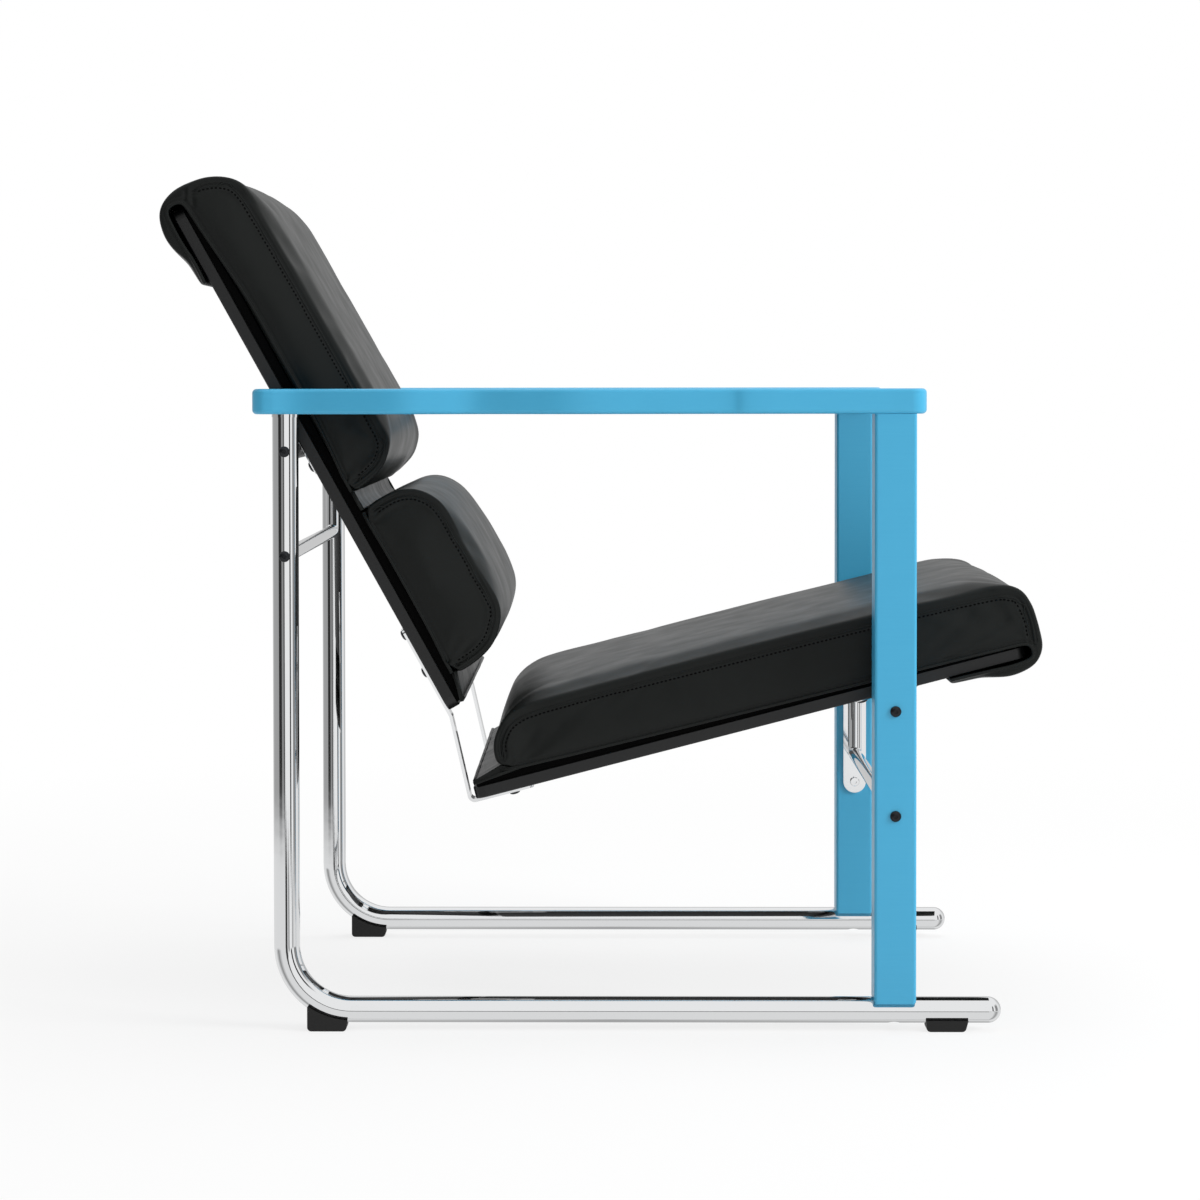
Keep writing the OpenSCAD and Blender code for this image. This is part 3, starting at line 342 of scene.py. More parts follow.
def tubeAxis(side):
    turns = [math.pi + math.pi / 2 * k / tube["bendSteps"] for k in range(tube["bendSteps"] + 1)]
    middle = (tube["upright"] + tube["bend"], tube["runner"] + tube["bend"])
    flat = [(middle[0] + tube["bend"] * math.cos(a), middle[1] + tube["bend"] * math.sin(a)) for a in turns]
    flat = [(tube["upright"], tube["top"])] + flat + [(tube["end"], tube["runner"])]
    return [Vector((x, side * tube["side"], z)) * mm for x, z in flat]


def nearestOn(line, p):
    best, found = 1e9, None
    for a, b in zip(line, line[1:]):
        d = b - a
        q = a + d * max(0.0, min(1.0, (p - a).dot(d) / d.length_squared))
        if (p - q).length < best:
            best, found = (p - q).length, q
    return found


def roundShaded(piece, axis):
    # The outer skin takes the exact direction of a round tube, so that the chrome mirrors in clean lines.
    # A zero leaves a corner its own direction
    piece.modifiers.clear()
    mesh = piece.data
    out = [v.co - nearestOn(axis, v.co) for v in mesh.vertices]
    least = tube["skinShare"] * tube["radius"] * mm
    normals = []
    for face in mesh.polygons:
        for index in face.vertices:
            way = out[index].normalized()
            skinned = out[index].length > least and way.dot(face.normal) > tube["skinFacing"]
            normals.append(way if skinned else Vector((0, 0, 0)))
    mesh.normals_split_custom_set(normals)


for side, word in sides:
    for name in ("SideTubeShape", "TubeEndCapShape"):
        roundShaded(bpy.data.objects[word.lower() + name], tubeAxis(side))
for name in ("rearCrossRodShape", "frontCrossRodShape", "rearCrossTubeShape", "frontCrossTubeShape"):
    bpy.data.objects[name].modifiers.clear()
print("tubes shaded")


def smoothLine(points, steps):
    # Catmull-Rom through the points
    line = []
    for i in range(len(points) - 1):
        a, b, c, d = (Vector(points[max(0, min(len(points) - 1, k))]) for k in (i - 1, i, i + 1, i + 2))
        for k in range(steps):
            u = k / steps
            line.append((2 * b + (c - a) * u + (2 * a - 5 * b + 4 * c - d) * u * u
                         + (3 * b - a - 3 * c + d) * u ** 3) / 2)
    return line + [Vector(points[-1])]


# Armrests: the wavy outline of the part's source in finer steps, with softly rounded edges
armrest = {
    "rear": -331.7, "length": 641.0, "outer": 313.0, "inner": 247.0, "wave": 7.0, "under": 590.0,
    "thickness": 24.0, "edgeRadius": 4.0, "edgeSteps": 6, "rearRadius": 13.0, "frontRadius": 15.0,
    "steps": 6, "cornerSteps": 10,
    # The long edges: share of the length, and how far out as a share of the wave
    "outerShares": [(0.03, -0.75), (0.07, -0.95), (0.14, 0.1), (0.22, 1), (0.275, 0.2), (0.33, -0.75),
                    (0.405, 0.2), (0.483, 1), (0.59, 0.15), (0.7, -0.6), (0.74, -0.35), (0.85, -1.05),
                    (0.95, -1.5)],
    "innerShares": [(0.95, 0.5), (0.85, 0.25), (0.74, 0.15), (0.7, 0), (0.59, -0.5), (0.483, 0.25),
                    (0.405, -0.3), (0.33, -0.9), (0.275, -0.3), (0.22, 0.3), (0.14, -0.3), (0.07, -0.9),
                    (0.03, -0.8)],
}


def roundCorner(x, y, radius, start, steps):
    # Quarter circle inside the corner at x, y, from the given angle on
    toward = math.radians(start + 45)
    mid = Vector((x, y)) - radius * math.sqrt(2) * Vector((math.cos(toward), math.sin(toward)))
    turns = [math.radians(start + 90 * k / steps) for k in range(steps + 1)]
    return [mid + radius * Vector((math.cos(a), math.sin(a))) for a in turns]


def armrestLoop():
    # Counterclockwise from the rear of the inner edge, for the left armrest
    a = armrest
    rear, front = a["rear"], a["rear"] + a["length"]
    outer = [(rear + u * a["length"], a["outer"] + v * a["wave"]) for u, v in reversed(a["outerShares"])]
    inner = [(rear + u * a["length"], a["inner"] + v * a["wave"]) for u, v in reversed(a["innerShares"])]
    return (roundCorner(rear, inner[0][1], a["rearRadius"], 180, a["cornerSteps"])
            + smoothLine(inner, a["steps"])
            + roundCorner(front, inner[-1][1], a["frontRadius"], 270, a["cornerSteps"])
            + roundCorner(front, outer[0][1], a["frontRadius"], 0, a["cornerSteps"])
            + smoothLine(outer, a["steps"])
            + roundCorner(rear, outer[-1][1], a["rearRadius"], 90, a["cornerSteps"]))


def makeArmrest(name, node, side):
    bm = bmesh.new()
    loop = [bm.verts.new((p.x * mm, side * p.y * mm, armrest["under"] * mm)) for p in armrestLoop()]
    low = bm.faces.new(loop)
    raised = bmesh.ops.extrude_face_region(bm, geom=[low])["geom"]
    high = [v for v in raised if isinstance(v, bmesh.types.BMVert)]
    bmesh.ops.translate(bm, verts=high, vec=(0, 0, armrest["thickness"] * mm))
    rims = [e for e in bm.edges if abs(e.verts[0].co.z - e.verts[1].co.z) < 0.001 * mm]
    bmesh.ops.bevel(bm, geom=rims, offset=armrest["edgeRadius"] * mm, offset_type="OFFSET",
                    segments=armrest["edgeSteps"], profile=0.5, affect="EDGES", material=-1,
                    clamp_overlap=True)
    bmesh.ops.recalc_face_normals(bm, faces=bm.faces)
    piece = newPiece(name, bm, "blue_lacquered_wood")
    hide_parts(node)
    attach(piece, "root")
    weighted(piece)


makeArmrest("rightArmrestShape", "right_armrest", -1)
makeArmrest("leftArmrestShape", "left_armrest", 1)
print("armrests made")


# Soft pieces of leather, foam and felt. Each is a closed skin whose sections lie between two paths, s along
# the board and t out of it: an outer one over the top and an inner one along the board

def skin(name, ringCount, columnCount, place):
    # A grid rolled into a tube whose flat ends close, with its points and their hold placed by a function
    bm = bmesh.new()
    bmesh.ops.create_grid(bm, x_segments=ringCount, y_segments=columnCount - 1, size=0.5)
    hold = bm.verts.layers.deform.new()
    for vertex in bm.verts:
        i = round((vertex.co.x + 0.5) * ringCount) % ringCount
        j = round((vertex.co.y + 0.5) * (columnCount - 1))
        vertex.co, held = place(i, j)
        if held > 0:
            vertex[hold][0] = held
    bmesh.ops.remove_doubles(bm, verts=bm.verts, dist=form["mergeMm"] * mm)
    bmesh.ops.dissolve_degenerate(bm, dist=form["shortMm"] * mm, edges=bm.edges)
    bmesh.ops.recalc_face_normals(bm, faces=bm.faces)
    piece = newPiece(name, bm, "black_leather")
    piece.vertex_groups.new(name="held")
    return piece


def evenStations(stations, pitch):
    # Stations at an even pitch along the outer path
    line = smoothLine(stations, form["lineSteps"])
    found, walked, due = [line[0]], 0.0, pitch
    for a, b in zip(line, line[1:]):
        length = (b.xy - a.xy).length
        while walked + length >= due:
            found.append(a.lerp(b, (due - walked) / length))
            due += pitch
        walked += length
    return found + [line[-1]]


def softStep(u):
    u = max(0.0, min(1.0, u))
    return u * u * (3 - 2 * u)


felt = {"endTop": 15.2, "rise": 4.8, "upperFrom": 17.0, "upperOver": 88.0, "middle": 300.0,
        "lowerEnd": 548.0, "lowerOver": 26.0}


def liningTop(s):
    # Surface of the felt on the back board, thinner toward the board's ends
    upper = max(0.0, min(1.0, (s - felt["upperFrom"]) / felt["upperOver"]))
    lower = min(1.0, (felt["lowerEnd"] - s) / felt["lowerOver"])
    return felt["endTop"] + felt["rise"] * (upper if s < felt["middle"] else lower)


def seatLiningTop(s):
    # The seat board carries the same felt, turned end for end
    return liningTop(boards["length"] - s)


def columnsOf(pad):
    # Across the piece: how far in from the side, on which side, and how far down the side face
    half, roll = pad["width"] / 2, pad["roll"]
    down = [(0.0, w) for w in reversed(pad["sideShares"])]
    turn = [(roll * (1 - math.cos(math.pi / 2 * k / pad["rollSteps"])), 0.0) for k in range(pad["rollSteps"])]
    count = round((half - roll) / pad["acrossPitch"])
    flat = [(roll + (half - roll) * k / count, 0.0) for k in range(count)]
    near = [(-1, v, w) for v, w in down + turn + flat]
    return near + [(1, half, 0.0)] + [(1, v, w) for _, v, w in reversed(near)]


# How all soft pieces are formed, lengths in mm: from which thickness on they swell in full, where the crown
# starts as the skin turns outward, how the inner path meets the felt, and which share of a side face is held
form = {"fullThickness": 60.0, "insetShare": 0.45, "crownFrom": 0.6, "crownOver": 0.35, "boardClear": 2.0,
        "feltPlay": 0.3, "feltReach": 9.0, "heldFrom": 0.8, "heldOver": 0.15, "pathPitch": 6.0,
        "seamReach": 9.0, "beadPitch": 5.0, "hemPitch": 4.0, "hemOut": 0.1, "lineSteps": 8,
        "mergeMm": 0.02, "shortMm": 0.01, "rollResolution": 2, "rollMergeMm": 0.002}


def bandPiece(name, pad, place, lining):
    rows = evenStations(pad["section"], pad["pitch"])
    columns = columnsOf(pad)
    half, count = pad["width"] / 2, len(rows)

    def spot(i, j):
        row = rows[i] if i < count else rows[2 * count - 1 - i]
        outer, inner = Vector(row[:2]), Vector(row[2:])
        side, v, w = columns[j]
        thick = (outer - inner).length
        up = (outer - inner) / max(thick, 0.01)
        full = min(1.0, thick / form["fullThickness"])
        turned = max(0.0, 1 - v / pad["roll"])
        inset = min(pad["roll"], form["insetShare"] * thick) * (1 - math.sqrt(1 - turned * turned))
        crown = pad["crown"] * full * softStep((up.y - form["crownFrom"]) / form["crownOver"])
        crown *= 1 - ((half - v) / half) ** 2
        top = outer + up * (crown - inset - pad["shrink"] * full)
        low = inner.copy()
        if low.y > boards["thickness"] + form["boardClear"]:
            sunk = min(low.y, lining(low.x) + form["feltPlay"])
            low.y += (sunk - low.y) * softStep(v / form["feltReach"])
        middle = (top + low) / 2
        flat = top if i < count else low
        held = 0.0 if i < count else 1.0
        out = 0.0
        if w > 0:
            flat = flat.lerp(middle, w)
            share = abs((flat - top).length / max((low - top).length, 0.01))
            out = pad["puff"] * full * math.sin(math.pi * share)
            held = softStep((share - form["heldFrom"]) / form["heldOver"])
        y = side * (half - v + out)
        return (place @ Vector((flat.x, y, flat.y))) * mm, held

    return skin(name, 2 * count, len(columns), spot)


def softened(piece):
    bm = bmesh.new()
    bm.from_mesh(piece.data)
    bmesh.ops.smooth_vert(bm, verts=bm.verts, factor=0.5, use_axis_x=True, use_axis_y=True, use_axis_z=True)
    bm.to_mesh(piece.data)
    bm.free()


def rounded(piece):
    # One level of subdivision, made real
    piece.vertex_groups.clear()
    modifier = piece.modifiers.new("round", "SUBSURF")
    modifier.levels = modifier.render_levels = 1
    bpy.context.view_layer.update()
    evaluated = piece.evaluated_get(bpy.context.evaluated_depsgraph_get())
    mesh = bpy.data.meshes.new_from_object(evaluated)
    mesh.polygons.foreach_set("use_smooth", [True] * len(mesh.polygons))
    piece.modifiers.clear()
    old = piece.data
    piece.data = mesh
    bpy.data.meshes.remove(old)


foam = {"quality": 5, "mass": 0.4, "stiffness": 15.0, "bending": 0.5, "pressure": 4.0, "frames": 20,
        "give": 0.35, "capMm": 5.0}


def swollen(piece):
    # Foam pressing the leather out: a short cloth simulation, held along the folded lower edges
    rest = [v.co.copy() for v in piece.data.vertices]
    cloth = piece.modifiers.new("cloth", "CLOTH")
    settings = cloth.settings
    settings.quality = foam["quality"]
    settings.mass = foam["mass"]
    settings.tension_stiffness = settings.compression_stiffness = foam["stiffness"]
    settings.shear_stiffness = foam["stiffness"] / 3
    settings.bending_stiffness = foam["bending"]
    settings.use_pressure = True
    settings.uniform_pressure_force = foam["pressure"]
    settings.effector_weights.gravity = 0
    settings.vertex_group_mass = "held"
    cloth.collision_settings.use_collision = False
    cloth.point_cache.frame_start, cloth.point_cache.frame_end = 1, foam["frames"]
    for step in range(1, foam["frames"] + 1):
        bpy.context.scene.frame_set(step)
    bpy.context.view_layer.update()
    evaluated = piece.evaluated_get(bpy.context.evaluated_depsgraph_get())
    moved = [v.co.copy() for v in evaluated.data.vertices]
    piece.modifiers.clear()
    bpy.context.scene.frame_set(1)
    # Tight leather: the shape gives way to only a share of what the foam alone would push
    cap = foam["capMm"] * mm
    for vertex, start, end in zip(piece.data.vertices, rest, moved):
        step = (end - start) * foam["give"]
        vertex.co = start + (step if step.length <= cap else step * (cap / step.length))


def evenLine(line, pitch):
    # Points at an even pitch along a line, with their directions
    found, carried = [], 0.0
    for a, b in zip(line, line[1:]):
        length = (b - a).length
        while carried < length:
            found.append((a.lerp(b, carried / length), (b - a).normalized()))
            carried += pitch
        carried -= length
    return found


def insetLine(line, inset):
    # The line moved to its right, which is into the pad
    moved = []
    for i, p in enumerate(line):
        a, b = line[max(0, i - 1)], line[min(len(line) - 1, i + 1)]
        along = (b - a).normalized()
        moved.append(p + inset * Vector((along.y, -along.x)))
    return moved


def lineDistance(p, line):
    best = 1e9
    for a, b in zip(line, line[1:]):
        d = b - a
        u = max(0.0, min(1.0, (p - a).dot(d) / max(d.length_squared, 1e-9)))
        best = min(best, (p - a - u * d).length)
    return best


def seamPath(pad, inset):
    # The stretch of the outer path that carries the seam, moved into the side face
    path = [row.xy for row in evenStations(pad["section"], form["pathPitch"])]
    first, last = pad["seamFrom"], pad["seamTo"]
    kept = [p for i, p in enumerate(path) if first <= i / (len(path) - 1) <= last]
    return insetLine(kept, inset)


def hump(distance, wide):
    return math.exp(-(distance / wide) ** 2)


# What shows on a pad's side faces, in mm or as shares of the seam's depth: where they start, the waves of the
# leather, the groove, the swelling beside it, the sunk stitches and the fold along the lower edge
relief = {"sideFrom": 7.0, "sideOver": 5.0, "waves": (80, 150, 60), "grooveWide": 1.3, "swellShare": 0.3,
          "swellAt": 5.5, "swellWide": 2.4, "stitchShare": 0.4, "stitchWide": 1.0, "foldDepth": 0.8,
          "foldAt": 3.4, "foldWide": 1.4}


def dressed(piece, place, pad):
    # Seam groove along the sides, soft unevenness of the leather, and creases where it is drawn together
    inverse = place.inverted()
    half = pad["width"] / 2
    seam = seamPath(pad, pad["seamInset"])
    fold = [row.zw for row in evenStations(pad["section"], form["pathPitch"])]
    bpy.context.view_layer.update()
    normals = [v.normal.copy() for v in piece.data.vertices]
    for vertex, normal in zip(piece.data.vertices, normals):
        p = inverse @ (vertex.co / mm)
        side = softStep((abs(p.y) - half + relief["sideFrom"]) / relief["sideOver"])
        spot = Vector([part / size for part, size in zip(p, relief["waves"])])
        push = pad["unevenMm"] * noise.noise(spot + pad["seed"])
        if side > 0:
            d = lineDistance(p.xz, seam)
            deep = side * pad["seamDepth"]
            push -= deep * hump(d, relief["grooveWide"])
            push += deep * relief["swellShare"] * hump(d - relief["swellAt"], relief["swellWide"])
            push -= deep * relief["stitchShare"] * hump(d - pad["stitchInset"], relief["stitchWide"])
            d = lineDistance(p.xz, fold) - relief["foldAt"]
            push -= side * relief["foldDepth"] * hump(d, relief["foldWide"])
            for x0, z0, x1, z1, depth, wide in pad["creases"]:
                d = lineDistance(p.xz, [Vector((x0, z0)), Vector((x1, z1))])
                push -= side * depth * hump(d, wide)
        vertex.co += normal * push * mm


def seamSpots(tree, place, pad, side, line):
    # Where a line along the seam meets the skin, with the skin's direction and the line's
    found = []
    for flat, along in line:
        at = place @ Vector((flat.x, side * (pad["width"] / 2 + 1), flat.y)) * mm
        hit, normal, face, gap = tree.find_nearest(at)
        if hit is not None and gap < form["seamReach"] * mm:
            found.append((hit, normal, along))
    return found


def stitches(name, tree, place, pad):
    # One row of topstitches just inside the seam on both sides
    bm = bmesh.new()
    size = Matrix.Diagonal([half * mm for half in pad["stitchHalf"]] + [1])
    line = evenLine(seamPath(pad, pad["seamInset"] + pad["stitchInset"]), pad["stitchPitch"])[1:-1]
    for side, word in sides:
        for hit, normal, along in seamSpots(tree, place, pad, side, line):
            forward = (place.to_3x3() @ Vector((along.x, 0, along.y))).normalized()
            forward = (forward - normal * forward.dot(normal)).normalized()
            turn = Matrix((forward, normal.cross(forward), normal)).transposed().to_4x4()
            bmesh.ops.create_icosphere(bm, subdivisions=1, radius=1.0,
                                       matrix=Matrix.Translation(hit) @ turn @ size)
    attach(newPiece(name, bm, "black_leather", thread), "root")


def rolled(name, place, spots, radius):
    # A thin roll of leather through spots given along, across and out of the board
    curve = bpy.data.curves.new(name, "CURVE")
    curve.dimensions = "3D"
    curve.bevel_depth = radius * mm
    curve.bevel_resolution = form["rollResolution"]
    curve.use_fill_caps = True
    spline = curve.splines.new("POLY")
    spline.points.add(len(spots) - 1)
    for point, spot in zip(spline.points, spots):
        point.co = (*(place @ Vector(spot) * mm), 1)
    holder = bpy.data.objects.new(name, curve)
    bpy.context.scene.collection.objects.link(holder)
    bpy.context.view_layer.update()
    mesh = bpy.data.meshes.new_from_object(holder.evaluated_get(bpy.context.evaluated_depsgraph_get()))
    bpy.data.objects.remove(holder)
    bm = bmesh.new()
    bm.from_mesh(mesh)
    bpy.data.meshes.remove(mesh)
    bmesh.ops.remove_doubles(bm, verts=bm.verts, dist=form["rollMergeMm"] * mm)
    bmesh.ops.recalc_face_normals(bm, faces=bm.faces)
    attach(newPiece(name, bm, "black_leather"), "root")


def hem(name, place, pad, path, side):
    # The folded edge of the leather, along a path at one side
    y = side * (pad["width"] / 2 + form["hemOut"] * pad["hemRadius"])
    rolled(name, place, [(s, y, t) for s, t in path], pad["hemRadius"])


def seamBead(name, tree, place, pad):
    # The seam itself: the top leather folded under along the side leather
    inverse = place.inverted()
    line = evenLine(seamPath(pad, pad["seamInset"]), form["beadPitch"])
    for side, word in sides:
        spots = [inverse @ ((hit - normal * pad["beadSink"] * mm) / mm)
                 for hit, normal, along in seamSpots(tree, place, pad, side, line)]
        rolled(name + word, place, spots, pad["beadRadius"])


def makeCushion(name, replaced, place, pad, lining):
    print("making", name)
    piece = bandPiece(name, pad, place, lining)
    swollen(piece)
    softened(piece)
    rounded(piece)
    dressed(piece, place, pad)
    for node in replaced:
        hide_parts(node)
    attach(piece, "root")
    tree = BVHTree.FromObject(piece, bpy.context.evaluated_depsgraph_get())
    stitches(name + "Stitches", tree, place, pad)
    seamBead(name + "Seam", tree, place, pad)
    path = pad.get("hemLead", []) + [row.zw for row in evenStations(pad["section"], form["hemPitch"])]
    for side, word in sides:
        hem(name + "Hem" + word, place, pad, path + pad.get("hemEnd", []), side)


common = {"width": 495.0, "roll": 5.0, "rollSteps": 4, "acrossPitch": 9.0, "pitch": 5.0,
          "crown": 1.5, "puff": 2.0, "shrink": 0.4, "unevenMm": 0.35, "seamInset": 9.5, "seamDepth": 1.7,
          "sideShares": (0.11, 0.19, 0.25, 0.30, 0.35, 0.41, 0.47, 0.56, 0.68, 0.84, 1.0),
          "stitchInset": 3.2, "stitchPitch": 4.2, "stitchHalf": (1.55, 1.05, 0.5),
          "beadRadius": 0.8, "beadSink": 0.3, "hemRadius": 1.7, "fill": 0.85}
# From the end of the flap behind the board, round the board's upper end, over the top and down to the gap
upperCushion = dict(
    common, seamFrom=0.24, seamTo=0.995, seed=Vector((3.1, 0.4, 7.7)),
    section=[(78, -8.2, 77, -4), (66, -8.4, 66, -3.4), (57, -8.7, 57, -3.2), (48, -9.9, 48, -3.4),
             (37, -14.3, 38, -4.4), (27, -16.7, 28, -4.8), (18, -17.1, 18, -4.8), (10, -15.9, 9, -4.4),
             (2, -13.7, 2, -3.6), (-5, -10.1, -1.8, -1.8), (-10.4, -4.5, -3.8, 1.6), (-14.7, 3.7, -4.4, 6.2),
             (-17.5, 15.7, -3.6, 11), (-17.2, 31.3, -1.4, 14), (-14, 47.6, 4, 16), (-7.4, 61.8, 16, 17.2),
             (3, 72.6, 28, 18.0), (17.4, 77.8, 42, 19.2), (37, 79.5, 56, 20.4), (69, 80.4, 80, 22.8),
             (100, 81, 105, 25), (150, 81.6, 150, 26), (236, 82, 234, 25.6), (279.6, 81.7, 268, 24.2),
             (297, 80, 281, 23.4), (308.2, 72, 290, 22.8), (317.2, 60.8, 297, 22.2), (322.5, 43, 302, 21.9),
             (324.6, 23.5, 306, 21.7)],
    hemEnd=[(321, 21.7)],
    creases=[(-6.5, 28, 5, 23, 1.2, 2.0), (-10, 23, -4, 19, 0.8, 1.6), (300, 26, 288, 58, 0.5, 4.0),
             (314, 24, 306, 40, 0.7, 3.0)])
lowerCushion = dict(
    common, seamFrom=0.02, seamTo=0.98, seed=Vector((8.3, 5.1, 1.9)), seamInset=7.5,
    hemLead=[(344, 21.8)], hemEnd=[(521, 21.4)],
    section=[(340.6, 25, 358, 21.8), (338.8, 43, 361, 22), (339.6, 60.2, 364, 22.1), (344.6, 73.8, 368, 22.2),
             (354, 84.2, 373, 22.4), (367.8, 92.2, 381, 22.6), (383, 95.2, 391, 22.8), (400, 95.9, 402, 22.9),
             (425, 96.4, 426, 23), (450, 96.5, 450, 23), (472.5, 96.3, 471, 22.8), (486.8, 94.7, 480, 22.6),
             (497.6, 89.7, 487, 22.3), (505.8, 82.6, 493, 22), (514, 73.9, 498, 21.8),
             (520.2, 61.2, 502, 21.6), (523.6, 44.2, 505, 21.4), (524.8, 26, 507, 21.3)],
    creases=[(350, 24, 358, 56, 0.5, 4.0), (514, 24, 504, 52, 0.9, 3.0), (508, 23, 494, 44, 0.6, 4.0),
             (520, 26, 512, 40, 0.8, 2.4)])
seatCushion = dict(
    common, seamFrom=0.01, seamTo=0.845, seed=Vector((1.7, 9.2, 4.4)), seamInset=10.5, stitchInset=3.6,
    hemLead=[(31, 23)],
    section=[(29.4, 24.5, 50, 21.2), (26.6, 32, 54, 21.2), (26, 40, 58, 21.2), (28.2, 51, 62, 21.1),
             (34.6, 62, 67, 21), (42.4, 70.2, 72, 20.9), (52, 75.9, 78, 20.8), (65, 79.4, 87, 20.6),
             (82, 80.9, 102, 20.3), (105, 81.7, 118, 20.1), (140, 82, 141, 19.8), (220, 82, 220, 18.8),
             (302, 81.7, 302, 17.8), (380, 81, 380, 17), (438, 80.3, 436, 16.4), (490, 79.2, 484, 15.8),
             (520, 78.2, 508, 15.4), (543.4, 76, 524, 15.1), (558.4, 70.2, 534, 15),
             (566.2, 62, 541, 14.9), (570, 47.6, 547, 14.6), (571, 34.6, 552, 13.8), (570.4, 22, 555, 12),
             (569.2, 8.8, 556.8, 8), (566, 1.4, 556.8, 4), (561.6, -4.2, 555, 0.4), (555, -9, 550, -1.8),
             (541.9, -12.4, 541, -3), (530, -13.2, 530, -3.4), (517.5, -10.8, 518, -3),
             (505, -7.3, 505, -2.6), (490, -6.5, 490, -2.2), (472, -5.8, 472.5, -2)],
    creases=[(42, 26, 74, 52, 0.6, 4.0), (52, 22, 98, 48, 0.5, 4.0), (476, 18, 538, 42, 1.0, 5.0),
             (500, 18, 552, 30, 0.8, 4.0), (452, 24, 506, 54, 0.7, 6.0), (420, 22, 470, 50, 0.4, 6.0)])
makeCushion("upperBackCushion", ["upper_back_pad", "back_top_pocket"], backPlace, upperCushion, liningTop)
makeCushion("lowerBackCushion", ["lower_back_pad"], backPlace, lowerCushion, liningTop)
makeCushion("seatCushion", ["seat_pad", "seat_front_pocket"], seatPlace, seatCushion, seatLiningTop)


def makeStrip(name, node, place, strip, lining):
    # A leather strip between or below the pads, gathered a little across, with a roll along its side edges
    piece = bandPiece(name, strip, place, lining)
    rounded(piece)
    inverse = place.inverted()
    bpy.context.view_layer.update()
    normals = [v.normal.copy() for v in piece.data.vertices]
    for vertex, normal in zip(piece.data.vertices, normals):
        p = inverse @ (vertex.co / mm)
        push = 0.0
        for turn, (along, across) in enumerate(strip["gathers"], 1):
            spot = Vector((p.x / along, p.y / across, 0)) + turn * strip["seed"]
            push += strip["gatherMm"] * noise.noise(spot)
        vertex.co += normal * push * mm
    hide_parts(node)
    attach(piece, "root")
    ends = strip["section"][0], strip["section"][-1]
    edge = [((a + c) / 2, (b + d) / 2) for a, b, c, d in ends]
    for side, word in sides:
        hem(name + "Hem" + word, place, strip, edge, side)
    if "endHem" in strip:
        s, t, radius = strip["endHem"]
        reach, steps = strip["width"] / 2 - 1, strip["endSteps"]
        bow = [(s, reach * k / steps, t + strip["endWave"] * noise.noise(Vector((k / 3, s, 0))))
               for k in range(-steps, steps + 1)]
        rolled(name + "EndHem", place, bow, radius)


thin = {"width": 493.0, "roll": 2.2, "rollSteps": 3, "sideShares": (0.5, 1.0), "acrossPitch": 4.0,
        "pitch": 2.5, "crown": 0.0, "puff": 0.0, "shrink": 0.0, "gatherMm": 0.45,
        "gathers": ((45, 9), (30, 28)), "hemRadius": 1.9, "endSteps": 20, "endWave": 0.5}
bridgeStrip = dict(
    thin, seed=Vector((2.2, 6.1, 0.7)),
    section=[(320, 24.2, 321, 20.6), (325, 23, 325, 20.5), (330.5, 22.2, 330.5, 20.4), (336, 23, 336, 20.5),
             (342, 24.6, 341, 20.6)])
backStrip = dict(
    thin, seed=Vector((7.2, 1.1, 3.7)),
    section=[(521, 27, 521, 20.8), (527, 25, 527, 20), (535, 22.6, 535, 18.4), (543, 20.4, 543, 16.8),
             (547, 18.6, 547, 15.8), (550, 17.2, 549.4, 15.8)],
    endHem=(547.8, 18.6, 2.0))
seatStrip = dict(
    thin, seed=Vector((4.2, 2.1, 9.7)),
    section=[(2, 17.2, 2.6, 15.8), (4, 19, 4, 15.8), (9, 20.4, 9, 16.8), (17, 22.6, 17, 18.4),
             (25, 25, 25, 20), (33, 27, 33, 20.8), (42, 23.4, 42, 20.9), (52, 21.8, 52, 20.9)],
    endHem=(4.2, 18.8, 2.0))
makeStrip("bridgeStrip", "back_bridge_strip", backPlace, bridgeStrip, liningTop)
makeStrip("backEndFlap", "back_end_strip", backPlace, backStrip, liningTop)
makeStrip("seatEndFlap", "seat_end_strip", seatPlace, seatStrip, seatLiningTop)
print("leather strips made")


sheet = {"mergeMm": 0.02, "longMm": 40.0, "cuts": 6, "sharpDegrees": 30}


def feltPiece(name, node):
    # Felt between board and pad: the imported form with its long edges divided
    bm = bmesh.new()
    bm.from_mesh(nodes[node].data)
    bmesh.ops.remove_doubles(bm, verts=bm.verts, dist=sheet["mergeMm"] * mm)
    long = [e for e in bm.edges if e.calc_length() > sheet["longMm"] * mm]
    bmesh.ops.subdivide_edges(bm, edges=long, cuts=sheet["cuts"], use_grid_fill=True)
    markSharp(bm, sheet["sharpDegrees"])
    piece = newPiece(name, bm, "black_lining")
    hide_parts(node)
    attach(piece, "root")
    weighted(piece)


feltPiece("backLiningFelt", "back_lining")
feltPiece("seatLiningFelt", "seat_lining")
print("linings made")


# Floor, light and camera

